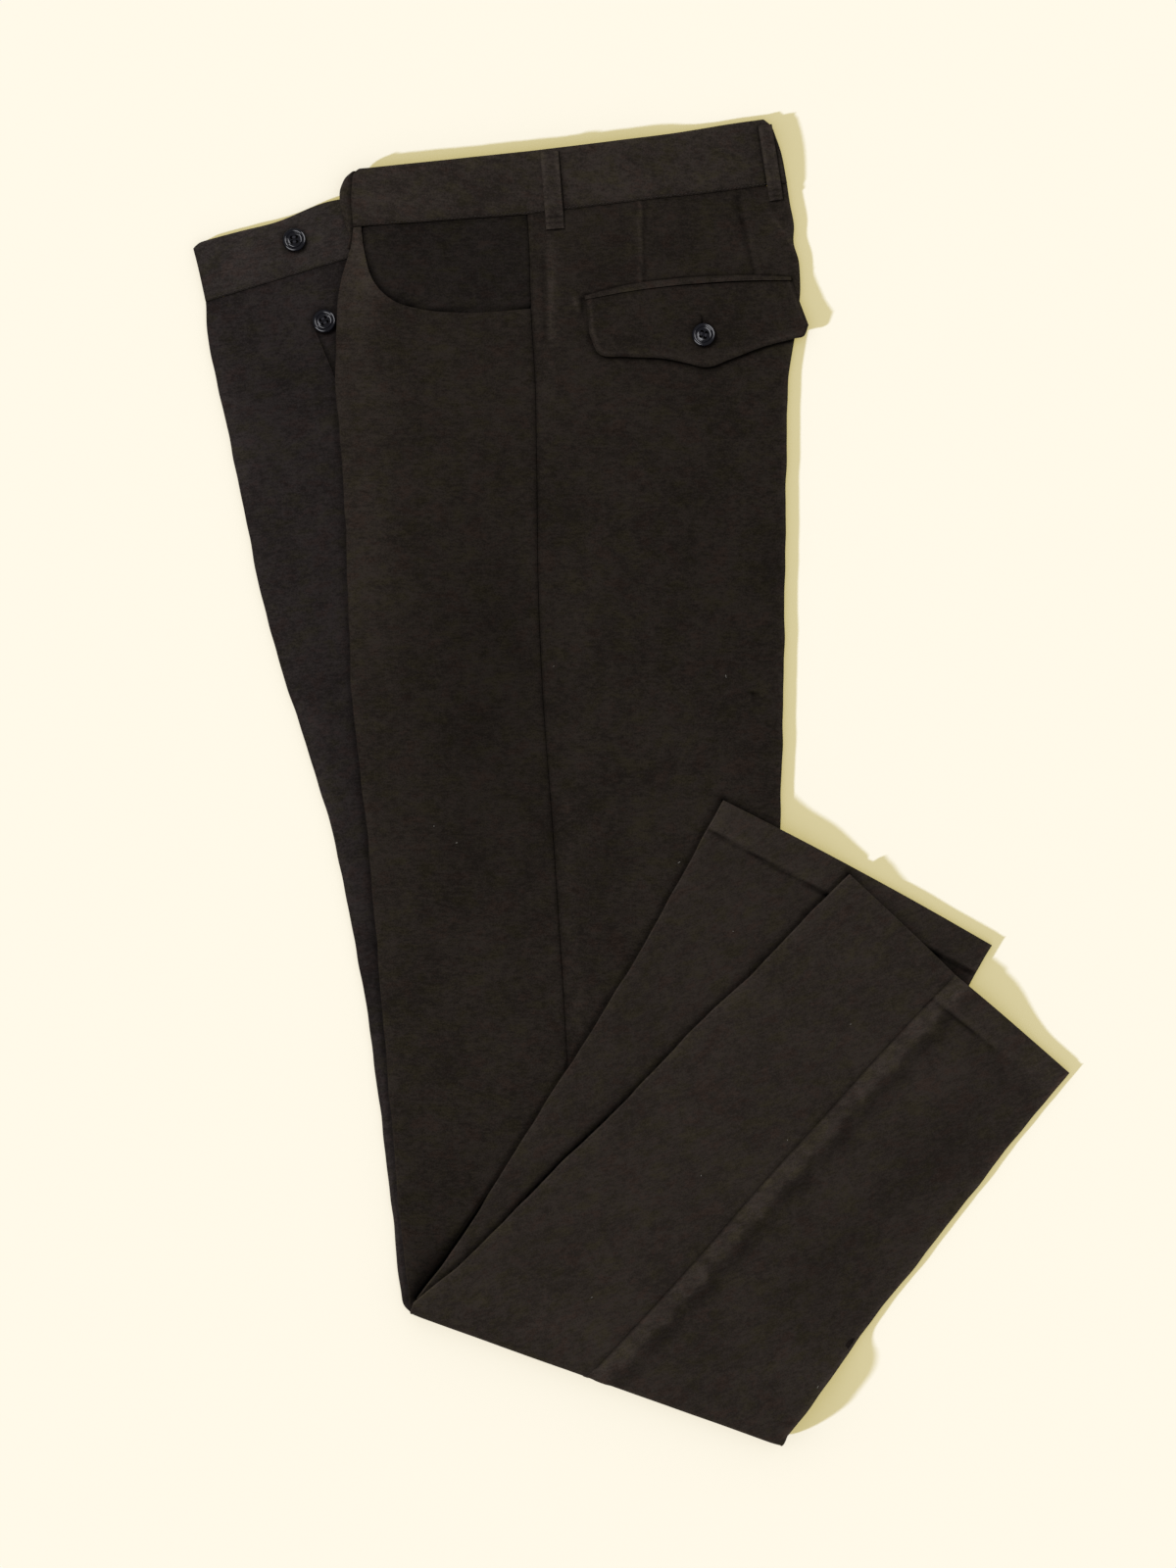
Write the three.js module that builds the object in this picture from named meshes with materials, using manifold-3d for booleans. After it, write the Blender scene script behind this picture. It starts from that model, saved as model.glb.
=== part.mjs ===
// Moleskin trousers, folded sideways at the centre and folded up once at the knee, lying flat.
// Millimetres, +Z up. The garment lies on z = 0, its waist towards +Y, the fly towards -X, and
// the folded-up hems towards +X. Both legs are flattened tubes of cloth, and four lengths of leg
// lie on each other: right upper, left upper, left lower and right lower, from the floor up.
import * as THREE from "three";
import { mergeVertices } from "three/addons/utils/BufferGeometryUtils.js";
import Module from "manifold-3d";

const wasm = await Module();
wasm.setup();

// ---- Driving dimensions ----

const PLY = 1.2; // one wall of moleskin
const SEAM_GAP = 0.3; // between two pieces that are sewn together
const FILL = 0.6; // what lies between the two walls of a flattened leg, at its folds
const LEG = 2 * PLY + 2 * SEAM_GAP + FILL; // thickness of one flattened leg
const RIM = 0.4; // thickness of the hidden layers there
const LAYER_GAP = 0.8; // air between one leg and the leg on it
const PITCH = LEG + LAYER_GAP;
const STACK = LEG + 3 * PITCH; // four legs on each other
const BEND = STACK / 2; // outer radius of the knee fold, seen from its end
const DRAPE = 60; // how far out a leg takes to fall from the edge of the leg under it
const TUCK = 9.4; // how far a wall goes on round a fold, or under the leg on it
const BAND = 10; // width of the thin rim of the hidden layers
const STEP = 0.2; // run of an upright step in the hidden layers
const MOUTH = 12; // depth of the slot that shows between the two walls at an open end
const LIP_BACK = 1.5; // how far the lower wall stays behind the upper one there
const WAIST_RAISE = 0.6; // the waistband stands this much above the panels
const WAIST_PLY = PLY + WAIST_RAISE;
const KNEE_BLEND = 75; // length over which the top leg levels out towards the knee fold
const BUTTON = { radius: 7.3, thick: 3.2, rim: 1.5, dish: 1.1, hole: 0.9, spread: 1.9 };
const LOOP = { thick: 1.5, bulge: 0.8, foot: 0.12 }; // foot: share below the waist seam
const POCKET = { thick: 1.4, recess: 0.2 };
const KNEE_CLEAR = 6; // where the hidden layers begin, inside the knee fold's axis
const ARC_STEPS = 4; // facets round a side fold
const KNEE_STEPS = 6; // facets round the knee fold
const KNEE_TUCK = 1; // how far the knee fold's lowest row stays behind its axis
const KNEE_COLUMNS = 6;
const NOSE_ANGLES = [80, 55, 25, 0]; // degrees, facets of the filling in the knee fold
const UPPER_ROWS = 20;
const LOWER_ROWS = 14;
const WAIST_ROWS = 4;
const COLUMNS = { front: 4, back: 7, lower: 5, rightFront: 1, rightWaist: 2 };
const WELT_GRID = { across: 1, along: 12 };
const FLAP_GRID = { across: 3, along: 18 };
const LOOP_ROWS = { flat: 10, front: 8 };
const BUTTON_SIDES = { disc: 24, hole: 8 };
const LENGTH_SAMPLES = 40;
const MERGE = 1e-4; // points nearer than this are one
const FLY_ROWS = 7; // rows of the upper right leg that the fly underlap spans
const POCKET_ROWS = 9; // rows of the upper left leg that the pocket facing spans
const WAIST_OVERLAP = 7; // how far the waist's hidden layers run on under the waist seam
const CENTRE = { x: -0.1, y: -0.7 }; // middle of the garment's outline, which becomes the origin

// ---- Tables ----

// Turns rows of numbers into rows with named columns.
function table(names, rows) {
  const keys = names.split(" ");
  return rows.map((row) => Object.fromEntries(keys.map((key, i) => [key, row[i]])));
}

// Each row crosses a flattened leg: its front fold, the seam in the middle and its back fold.
const CROSS = "frontX frontY seamX seamY backX backY";

// Left leg, upper length, from the waist seam to the knee.
const LEFT_UPPER = table(CROSS, [
  [-176.5, 351.9, -66.2, 359.9, 98.7, 380.4],
  [-180.6, 330.0, -64.9, 338.0, 103.0, 355.0],
  [-185.8, 308.0, -64.3, 313.0, 104.5, 330.0],
  [-187.3, 284.0, -63.1, 287.0, 106.0, 305.0],
  [-187.5, 254.0, -61.2, 255.1, 101.8, 266.3],
  [-185.8, 229.1, -60.6, 229.1, 98.7, 236.5],
  [-182.7, 191.9, -60.0, 191.9, 98.1, 195.0],
  [-179.9, 125.0, -59.2, 125.0, 97.2, 125.0],
  [-177.2, 55.5, -56.3, 55.5, 96.3, 55.5],
  [-167.9, -28.2, -50.1, -28.2, 94.4, -31.0],
  [-160.4, -115.0, -44.5, -115.0, 94.4, -118.0],
  [-153.6, -195.6, -39.5, -198.7, 94.4, -205.0],
  [-145.5, -288.6, -33.9, -291.7, 94.4, -298.0],
  [-141.2, -322.7, -29.6, -328.9, 94.4, -341.0],
]);

// Left half of the waistband, from its seam to its top edge.
const LEFT_WAIST = table(CROSS, [
  [-176.5, 352.2, -66.2, 360.2, 98.6, 380.7],
  [-177.8, 370.0, -64.0, 379.8, 95.0, 398.8],
  [-175.5, 388.0, -60.5, 400.6, 87.5, 417.5],
]);

// Right leg, upper length: the front fold that shows, the height of the point where its walls
// end under the left leg, and the hidden back fold.
const RIGHT_UPPER = table("frontX frontY underY backX backY", [
  [-270.2, 305.0, 336.2, -5.0, 350.0],
  [-269.4, 286.0, 312.0, -2.0, 320.0],
  [-261.5, 247.7, 266.0, 1.0, 270.0],
  [-250.9, 198.1, 206.0, 6.0, 210.0],
  [-233.0, 111.3, 111.3, 16.0, 111.3],
  [-218.7, 61.7, 61.7, 24.0, 61.7],
  [-202.6, 12.1, 12.1, 32.0, 12.1],
  [-188.3, -37.5, -37.5, 41.0, -37.5],
  [-178.4, -87.1, -87.1, 49.0, -87.1],
  [-169.1, -136.7, -136.7, 57.0, -140.0],
  [-156.1, -235.9, -235.9, 68.0, -245.0],
  [-150.5, -285.5, -285.5, 76.0, -300.0],
  [-145.6, -321.5, -321.5, 84.0, -345.0],
]);

// Right half of the waistband, from its front fold on: the first three rows show or nearly so,
// and the left half hides the rest.
const RIGHT_WAIST = table("topX topY seamX seamY", [
  [-278.1, 342.0, -270.2, 305.3],
  [-223.8, 357.6, -218.5, 321.2],
  [-168.2, 372.4, -168.2, 336.5],
  [-90.0, 385.0, -86.0, 348.5],
  [-10.0, 396.0, -4.0, 359.0],
]);

// Left leg, lower length, folded up: from the knee to the hem.
const LEFT_LOWER = table(CROSS, [
  [-136.3, -325.2, -41.0, -359.0, 58.0, -394.0],
  [-114.5, -297.0, -19.0, -326.0, 77.0, -365.0],
  [-89.7, -258.2, 8.0, -284.0, 98.0, -328.0],
  [-58.7, -208.0, 37.0, -236.0, 125.0, -283.0],
  [-27.7, -159.7, 68.0, -184.0, 155.0, -231.0],
  [9.5, -98.3, 100.0, -128.0, 187.0, -175.0],
  [34.3, -53.0, 122.0, -90.0, 209.0, -137.0],
  [57.8, -10.5, 141.0, -55.8, 228.5, -102.6],
]);

// Right leg, lower length, folded up over the left one: from the knee to the hem.
const RIGHT_LOWER = table(CROSS, [
  [-137.8, -327.5, -27.4, -366.9, 98.0, -411.6],
  [-102.1, -297.3, 1.0, -343.0, 118.0, -387.0],
  [-52.5, -247.1, 43.0, -297.0, 152.0, -341.0],
  [-2.9, -198.7, 84.0, -250.0, 184.0, -301.0],
  [38.0, -155.3, 121.0, -210.5, 214.0, -262.5],
  [83.9, -111.9, 158.3, -169.5, 243.0, -225.5],
  [118.0, -76.0, 188.0, -138.0, 265.0, -198.5],
  [137.9, -57.4, 203.5, -122.5, 277.9, -183.8],
]);

// The knee fold's axis, from the front fold to the back fold.
const KNEE = { front: [-137.8, -327.5], back: [98.0, -411.6] };

// Edge of the left front at the curved pocket, from the waist seam to the side seam.
const POCKET_CURVE = table("x y", [
  [-171.6, 356.0],
  [-169.5, 338.0],
  [-163.5, 318.0],
  [-151.5, 306.0],
  [-133.0, 300.0],
  [-110.0, 298.0],
  [-86.0, 298.6],
  [-60.0, 301.0],
]);

// Seam between the right front and the fly underlap.
const FLY_SEAM = table("x y", [
  [-207.0, 330.0],
  [-204.5, 304.0],
  [-201.5, 290.0],
  [-194.5, 273.0],
  [-188.5, 258.0],
  [-184.5, 246.0],
  [-172.0, 232.0],
]);

// Back pocket: the welt's two long edges and the flap's top and bottom edges.
const WELT = table("topX topY bottomX bottomY", [
  [-30.2, 308.6, -29.4, 306.0],
  [-2.9, 315.4, -2.9, 311.0],
  [34.3, 320.4, 34.3, 316.0],
  [71.5, 322.3, 71.5, 318.6],
  [101.0, 321.2, 101.0, 318.8],
]);
const FLAP = table("topX topY bottomX bottomY", [
  [-29.0, 305.6, -26.4, 285.0],
  [-20.0, 307.4, -20.0, 273.2],
  [-2.9, 310.6, -4.0, 271.6],
  [20.0, 313.8, 20.0, 270.2],
  [34.3, 315.3, 34.3, 267.2],
  [47.0, 316.3, 48.0, 264.4],
  [59.1, 317.1, 62.2, 268.6],
  [80.0, 318.0, 83.9, 276.8],
  [93.0, 318.2, 104.0, 282.2],
  [101.6, 318.2, 112.0, 289.0],
]);

// Belt loops that lie on the left waistband: middle line from the top to the foot, and width.
const SIDE_LOOP = { topX: -52.8, topY: 399.6, footX: -48.6, footY: 350.8, width: 10 };
const BACK_LOOP = { topX: 81.0, topY: 415.0, footX: 91.0, footY: 369.6, width: 8.6 };
const FRONT_LOOP = { topY: 386.5, footY: 344.0, standOff: 4.2, tail: 4 };
const FRONT_LOOP_ANGLES = [0, 30, 60, 90, 112]; // degrees round the waistband's fold

// Corners outside the panels that the pocket's mouth and the fly are cut out to.
const PAST_POCKET = { x: -40, y: 400 };
const PAST_FLY = { x: -140, y: 380 };

const BUTTONS = {
  waistband: { x: -213.7, y: 344.4 },
  fly: { x: -194.9, y: 293.0 },
  flap: { x: 45.4, y: 284.0 },
};

const CLOTH = { upper: 0x26221e, lower: 0x29241d, waist: 0x2e2823, hidden: 0x1f1c19 };

// ---- Small helpers ----

const lerp = (a, b, t) => [a[0] + (b[0] - a[0]) * t, a[1] + (b[1] - a[1]) * t];
const along = (p, direction, d) => [p[0] + direction[0] * d, p[1] + direction[1] * d];
const distance = (a, b) => Math.hypot(a[0] - b[0], a[1] - b[1]);
const radians = (degrees) => (degrees * Math.PI) / 180;
const ease = (t) => (1 - Math.cos(Math.PI * Math.min(1, Math.max(0, t)))) / 2;

function unit(from, to) {
  const d = distance(from, to);
  return [(to[0] - from[0]) / d, (to[1] - from[1]) / d];
}

// A smooth line through one pair of a table's columns, as a function of 0 to 1.
function lineOf(rows, xName, yName) {
  const points = rows.map((row) => new THREE.Vector3(row[xName], row[yName], 0));
  const curve = new THREE.CatmullRomCurve3(points, false, "centripetal");
  return (t) => {
    const p = curve.getPoint(t);
    return [p.x, p.y];
  };
}

const evenly = (count) => Array.from({ length: count + 1 }, (_, i) => i / count);

// ---- The knee fold and the height of each leg ----

const kneeAlong = unit(KNEE.front, KNEE.back);
const kneeOut = [kneeAlong[1], -kneeAlong[0]];
const pastKnee = (p) =>
  -(p[0] - KNEE.front[0]) * kneeOut[0] - (p[1] - KNEE.front[1]) * kneeOut[1];

const frontKnee = along(KNEE.front, kneeOut, BEND);
const backKnee = along(KNEE.back, kneeOut, BEND);
const pointOf = (row, side) => [row[side + "X"], row[side + "Y"]];
const edgePoints = (rows, xName, yName) => rows.map((row) => [row[xName], row[yName]]);

// Outlines of the legs that others lie on.
const OUTLINES = {
  rightUpper: [
    ...edgePoints(RIGHT_UPPER, "frontX", "frontY"),
    frontKnee,
    backKnee,
    ...edgePoints(RIGHT_UPPER, "backX", "backY").reverse(),
    ...edgePoints(RIGHT_WAIST, "topX", "topY").reverse(),
  ],
  rightWaist: [
    ...edgePoints(RIGHT_WAIST.slice(0, 3), "topX", "topY"),
    ...edgePoints(RIGHT_WAIST.slice(0, 3), "seamX", "seamY").reverse(),
  ],
  leftUpper: [
    ...edgePoints(LEFT_UPPER, "frontX", "frontY"),
    frontKnee,
    backKnee,
    ...edgePoints(LEFT_UPPER, "backX", "backY").reverse(),
    ...["back", "seam", "front"].map((side) => pointOf(LEFT_WAIST.at(-1), side)),
  ],
  leftLower: [
    ...edgePoints(LEFT_LOWER, "frontX", "frontY"),
    ...edgePoints(LEFT_LOWER, "backX", "backY").reverse(),
    frontKnee,
  ],
};

// 1 on an outline, falling to 0 at DRAPE outside it.
function cover(outline, p) {
  let inside = false;
  let nearest = Infinity;
  outline.forEach((a, i) => {
    const b = outline[(i + 1) % outline.length];
    const crosses = a[1] > p[1] !== b[1] > p[1];
    if (crosses && p[0] < a[0] + ((b[0] - a[0]) * (p[1] - a[1])) / (b[1] - a[1])) {
      inside = !inside;
    }
    const length = distance(a, b);
    const direction = unit(a, b);
    const reach = (p[0] - a[0]) * direction[0] + (p[1] - a[1]) * direction[1];
    const foot = along(a, direction, Math.min(length, Math.max(0, reach)));
    nearest = Math.min(nearest, distance(foot, p));
  });
  return inside ? 1 : 1 - ease(nearest / DRAPE);
}

// Height of each leg's upper face.
const heights = {
  rightUpper: () => LEG,
  leftUpper: (p) =>
    LEG + PITCH * cover(OUTLINES.rightUpper, p) + WAIST_RAISE * cover(OUTLINES.rightWaist, p),
  leftLower: (p) =>
    LEG + PITCH * (cover(OUTLINES.rightUpper, p) + cover(OUTLINES.leftUpper, p)),
  rightLower: (p) => {
    const under = ["rightUpper", "leftUpper", "leftLower"];
    const free = LEG + PITCH * under.reduce((sum, name) => sum + cover(OUTLINES[name], p), 0);
    return STACK + (free - STACK) * ease(pastKnee(p) / KNEE_BLEND);
  },
};

// ---- Closed solids from grids ----

// One closed geometry from two equal grids of points, with its four borders closed.
function shell(outer, inner) {
  const rows = outer.length;
  const columns = outer[0].length;
  const positions = [...outer.flat(), ...inner.flat()].flat();
  const index = [];
  const at = (side, i, j) => side * rows * columns + i * columns + j;
  const quad = (a, b, c, d) => index.push(a, b, c, a, c, d);
  for (let i = 0; i + 1 < rows; i++) {
    for (let j = 0; j + 1 < columns; j++) {
      quad(at(0, i, j), at(0, i, j + 1), at(0, i + 1, j + 1), at(0, i + 1, j));
      index.push(at(1, i, j), at(1, i + 1, j + 1), at(1, i, j + 1));
      index.push(at(1, i, j), at(1, i + 1, j), at(1, i + 1, j + 1));
    }
    const last = columns - 1;
    quad(at(0, i, 0), at(0, i + 1, 0), at(1, i + 1, 0), at(1, i, 0));
    quad(at(0, i + 1, last), at(0, i, last), at(1, i, last), at(1, i + 1, last));
  }
  for (let j = 0; j + 1 < columns; j++) {
    const last = rows - 1;
    quad(at(0, 0, j + 1), at(0, 0, j), at(1, 0, j), at(1, 0, j + 1));
    quad(at(0, last, j), at(0, last, j + 1), at(1, last, j + 1), at(1, last, j));
  }
  const geometry = new THREE.BufferGeometry();
  geometry.setAttribute("position", new THREE.Float32BufferAttribute(positions, 3));
  geometry.setIndex(index);
  return volumeOf(geometry) < 0 ? turned(geometry) : geometry;
}

function volumeOf(geometry) {
  const points = geometry.getAttribute("position");
  const corner = (i) => new THREE.Vector3().fromBufferAttribute(points, geometry.index.getX(i));
  let total = 0;
  for (let i = 0; i < geometry.index.count; i += 3) {
    total += corner(i).dot(corner(i + 1).cross(corner(i + 2))) / 6;
  }
  return total;
}

function turned(geometry) {
  geometry.setIndex(Array.from(geometry.index.array).reverse());
  return geometry;
}

function solidOf(geometry) {
  const bare = new THREE.BufferGeometry();
  bare.setAttribute("position", geometry.getAttribute("position"));
  bare.setIndex(geometry.index);
  const merged = mergeVertices(bare, MERGE);
  return new wasm.Manifold(
    new wasm.Mesh({
      numProp: 3,
      vertProperties: new Float32Array(merged.getAttribute("position").array),
      triVerts: new Uint32Array(merged.index.array),
    }),
  );
}

function geometryOf(solid) {
  const mesh = solid.getMesh();
  const geometry = new THREE.BufferGeometry();
  geometry.setAttribute("position", new THREE.BufferAttribute(mesh.vertProperties, 3));
  geometry.setIndex(new THREE.BufferAttribute(mesh.triVerts, 1));
  return geometry;
}

// The largest body of a solid: a cut can leave a crumb behind.
function largest(solid) {
  return solid.decompose().reduce((a, b) => (a.volume() > b.volume() ? a : b));
}

// An upright cutter over an outline.
function cutter(outline) {
  const shape = new THREE.Shape(outline.map((p) => new THREE.Vector2(...p)));
  const depth = 4 * STACK;
  const geometry = new THREE.ExtrudeGeometry(shape, { depth, bevelEnabled: false });
  return solidOf(geometry.translate(0, 0, -depth / 2));
}

// ---- Walls of cloth on a leg ----

// The rows that carry the top leg round the knee fold, from the floor up to the first row.
function kneeRows(first, count) {
  const under = { ...first, turn: Math.PI, tuck: KNEE_TUCK };
  const turns = evenly(count).slice(0, -1).map((t) => Math.PI * (1 - t));
  const round = turns.map((turn) => ({ ...first, turn }));
  return [under, ...round];
}

// A point of a leg: its place in plan and its depth under the leg's upper face.
function place(row, height, p, depth, level = p) {
  if (!row.turn) return [p[0], p[1], height(level) - depth];
  const radius = BEND - depth;
  const reach = radius * Math.sin(row.turn) - (row.tuck ?? 0);
  const [x, y] = along(p, kneeOut, reach);
  return [x, y, BEND + radius * Math.cos(row.turn)];
}

// One row of a wall that runs from the seam over the leg, round a fold and on underneath.
// It gives the outer and the inner line, each as a list of points.
function foldedRow(row, side, height, wall) {
  const fold = row[side];
  const out = unit(row.seam, fold);
  const radius = (LEG + wall.raise) / 2;
  const base = along(fold, out, -radius);
  const rim = along(base, out, -BAND);
  const start = along(row.seam, out, wall.fromSeam);
  const flat = evenly(wall.columns).map((t) => lerp(start, rim, t));
  flat.push(along(base, out, -BAND / 2));
  const outer = flat.map((p) => place(row, height, p, -wall.raise));
  const inner = flat.map((p) => place(row, height, p, wall.thick - wall.raise));
  evenly(ARC_STEPS).forEach((t) => {
    const angle = Math.PI * t;
    [radius, radius - wall.thick].forEach((r, i) => {
      const p = along(base, out, r * Math.sin(angle));
      const depth = radius - wall.raise - r * Math.cos(angle);
      (i ? inner : outer).push(place(row, height, p, depth, base));
    });
  });
  [BAND / 2, TUCK].forEach((d) => {
    const p = along(base, out, -d);
    outer.push(place(row, height, p, LEG));
    inner.push(place(row, height, p, LEG - wall.thick));
  });
  // Columns run from the front fold to the back fold, on every leg and in every filling.
  return side === "front" ? { outer: outer.reverse(), inner: inner.reverse() } : { outer, inner };
}

function foldedWall(rows, side, height, wall) {
  const lines = rows.map((row) => foldedRow(row, side, height, wall));
  return solidOf(shell(lines.map((l) => l.outer), lines.map((l) => l.inner)));
}

// A flat wall over lines of points in plan. Each point may carry a lift of its underside.
function flatWall(lines, height, thick) {
  const grid = (up) =>
    lines.map((line) => line.map(([x, y, lift]) => [x, y, height([x, y]) + (lift ?? 0) + up]));
  return solidOf(shell(grid(thick), grid(0)));
}

// ---- Rows along the legs ----

function lengthOf(line) {
  const points = evenly(LENGTH_SAMPLES).map(line);
  return points.slice(1).reduce((sum, p, i) => sum + distance(points[i], p), 0);
}

// A leg's rows at given places, 0 at the table's first row and 1 at its last.
function legRows(rows, places) {
  const front = lineOf(rows, "frontX", "frontY");
  const seam = lineOf(rows, "seamX", "seamY");
  const back = lineOf(rows, "backX", "backY");
  return places.map((t) => ({ front: front(t), seam: seam(t), back: back(t), turn: 0 }));
}

// Row places of a leg that ends in an open hem at 1. The walls and the filling share them.
function hemPlaces(rows, count) {
  const length = lengthOf(lineOf(rows, "seamX", "seamY"));
  const rim = 1 - (MOUTH + STEP) / length;
  return {
    at: (fromHem) => 1 - fromHem / length,
    deep: evenly(count).map((t) => t * rim),
    open: [1 - MOUTH / length, 1 - LIP_BACK / length],
  };
}

// Outline, in plan, of what a leg hides of the one under it, short of the leg's own edges.
function hiddenUnder(rows) {
  const inset = (row, side) =>
    along(row[side], unit(row.seam, row[side]), -LEG / 2 - TUCK);
  const past = (p) => along(p, kneeOut, DRAPE);
  const front = rows.map((row) => inset(row, "front"));
  const back = rows.map((row) => inset(row, "back"));
  const hem = rows.at(-1).seam;
  return [past(front[0]), ...front, hem, ...back.reverse(), past(back.at(-1))];
}

// ---- The hidden layers ----

// Columns of a leg's row, shared with the walls over it so that both bend alike. The rim
// leaves room for the walls that go round the fold; inside it the filling may go deeper.
function columnsOf(row, columns) {
  const half = (side) => {
    const out = unit(row.seam, row[side]);
    const base = along(row[side], out, -LEG / 2);
    const rim = along(base, out, -BAND);
    const inner = evenly(columns).slice(0, -1).map((t) => lerp(row.seam, rim, t));
    return [
      ...inner.map((p) => ({ p, deep: true })),
      { p: along(rim, out, -STEP), deep: true },
      { p: rim, deep: false },
      { p: along(base, out, -BAND / 2), deep: false },
      { p: base, deep: false },
    ];
  };
  return [...half("front").reverse(), ...half("back").slice(1)];
}

// The filling of one leg. Its open rows leave the slot at the hem, and its deep rows reach
// the floor inside the rims.
function filling(deepRows, openRows, columns, height) {
  const upper = [];
  const lower = [];
  const add = (row, open) => {
    const line = columnsOf(row, columns);
    const top = (deep) => (open && deep ? LEG - PLY : PLY + SEAM_GAP);
    const bottom = ({ p, deep }) => {
      if (!deep) return height(p) - PLY - SEAM_GAP - RIM;
      return open ? height(p) - LEG : 0;
    };
    upper.push(line.map(({ p, deep }) => [...p, height(p) - top(deep)]));
    lower.push(line.map((column) => [...column.p, bottom(column)]));
  };
  deepRows.forEach((row) => add(row, false));
  openRows.forEach((row) => add(row, true));
  return solidOf(shell(upper, lower));
}

// A slab between two depths under a leg's face, over lines of points in plan. Each line
// names its own two depths.
function slab(lines, height) {
  const face = (side) =>
    lines.map((line) => line.points.map((p) => [...p, height(p) - line[side]]));
  return solidOf(shell(face("top"), face("bottom")));
}

// ---- The garment ----

const plain = (columns) => ({ raise: 0, thick: PLY, fromSeam: SEAM_GAP / 2, columns });

const leftUpper = legRows(LEFT_UPPER, evenly(UPPER_ROWS));
const leftLowerPlaces = hemPlaces(LEFT_LOWER, LOWER_ROWS);
const leftLower = legRows(LEFT_LOWER, [...leftLowerPlaces.deep, 1]);
const rightLowerPlaces = hemPlaces(RIGHT_LOWER, LOWER_ROWS);
const pastKneeFold = 1 - rightLowerPlaces.at(KNEE_CLEAR);
const rightLowerInner = [pastKneeFold, ...rightLowerPlaces.deep.slice(1)];
const rightLower = legRows(RIGHT_LOWER, [0, ...rightLowerInner, 1]);

const rowsShortOfHem = (table, places) =>
  legRows(table, [...places.deep.slice(0, -1), places.at(TUCK)]);
const underLeftLower = cutter(hiddenUnder(rowsShortOfHem(LEFT_LOWER, leftLowerPlaces)));
const underRightLower = cutter(hiddenUnder(rowsShortOfHem(RIGHT_LOWER, rightLowerPlaces)));

// Moves a line of points sideways, to its left when d is positive.
function beside(points, d) {
  return points.map((p, i) => {
    const direction = unit(points[Math.max(0, i - 1)], points[Math.min(points.length - 1, i + 1)]);
    return along(p, [-direction[1], direction[0]], d);
  });
}

// The pocket's mouth and the fly, as outlines that run past the panels' other edges.
function pocketOutline(gap) {
  const curve = beside(edgePoints(POCKET_CURVE, "x", "y"), gap);
  const { x, y } = PAST_POCKET;
  return [...curve, [x, curve.at(-1)[1]], [x, y], [curve[0][0], y]];
}

function flyOutline(gap) {
  const seam = beside(edgePoints(FLY_SEAM, "x", "y"), gap);
  const { x, y } = PAST_FLY;
  return [...seam, [x, seam.at(-1)[1]], [x, y], [seam[0][0], y]];
}

function leftPanels() {
  const cut = (wall) => largest(wall.subtract(underLeftLower).subtract(underRightLower));
  const front = foldedWall(leftUpper, "front", heights.leftUpper, plain(COLUMNS.front));
  const back = foldedWall(leftUpper, "back", heights.leftUpper, plain(COLUMNS.back));
  return {
    left_front: largest(cut(front).subtract(cutter(pocketOutline(-SEAM_GAP / 2)))),
    left_back: cut(back),
  };
}

function pocketFacing() {
  const rows = leftUpper.slice(0, POCKET_ROWS);
  const lines = rows.map((row) => {
    const out = unit(row.seam, row.front);
    const rim = along(row.front, out, -LEG / 2 - BAND);
    const start = along(row.seam, out, SEAM_GAP / 2);
    const edge = along(row.front, out, -LEG / 2);
    const inner = evenly(COLUMNS.front).map((t) => lerp(start, rim, t));
    return [...inner, edge].map((p) => [...p, -PLY]);
  });
  const sheet = flatWall(lines, heights.leftUpper, PLY - POCKET.recess);
  return sheet.intersect(cutter(pocketOutline(SEAM_GAP / 2)));
}

function leftWaistband() {
  const rows = legRows(LEFT_WAIST, evenly(WAIST_ROWS));
  const wall = { raise: WAIST_RAISE, thick: WAIST_PLY, fromSeam: 0 };
  const front = rows.map((row) =>
    foldedRow(row, "front", heights.leftUpper, { ...wall, columns: COLUMNS.front }),
  );
  const back = rows.map((row) =>
    foldedRow(row, "back", heights.leftUpper, { ...wall, columns: COLUMNS.back }),
  );
  const joined = (name) =>
    rows.map((_, i) => [...front[i][name], ...back[i][name].slice(1)]);
  return solidOf(shell(joined("outer"), joined("inner")));
}

// x of the left leg's front fold at a height.
function leftFoldAt(y) {
  const points = [...edgePoints(LEFT_WAIST, "frontX", "frontY").reverse()];
  points.push(...edgePoints(LEFT_UPPER, "frontX", "frontY"));
  const next = points.findIndex((p) => p[1] <= y);
  const [a, b] = [points[next - 1], points[next]];
  return a[0] + ((b[0] - a[0]) * (a[1] - y)) / (a[1] - b[1]);
}

function rightUpperRows(count) {
  const front = lineOf(RIGHT_UPPER, "frontX", "frontY");
  const back = lineOf(RIGHT_UPPER, "backX", "backY");
  const heightsUnder = RIGHT_UPPER.map((row) => ({ x: 0, y: row.underY }));
  const under = lineOf(heightsUnder, "x", "y");
  return evenly(count).map((t) => {
    const y = under(t)[1];
    const seam = [leftFoldAt(y) + LEG / 2 + TUCK, y];
    return { front: front(t), seam, back: back(t), turn: 0 };
  });
}

function rightPanels() {
  const rows = rightUpperRows(UPPER_ROWS);
  const wall = { raise: 0, thick: PLY, fromSeam: 0, columns: COLUMNS.rightFront };
  const front = foldedWall(rows, "front", heights.rightUpper, wall);
  const lines = rows.slice(0, FLY_ROWS).map((row) => {
    const out = unit(row.seam, row.front);
    return [row.seam, along(row.front, out, -LEG / 2)].map((p) => [...p, -PLY]);
  });
  const sheet = flatWall(lines, heights.rightUpper, PLY);
  return {
    right_front: largest(front.subtract(cutter(flyOutline(-SEAM_GAP / 2)))),
    fly_underlap: sheet.intersect(cutter(flyOutline(SEAM_GAP / 2))),
  };
}

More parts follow.
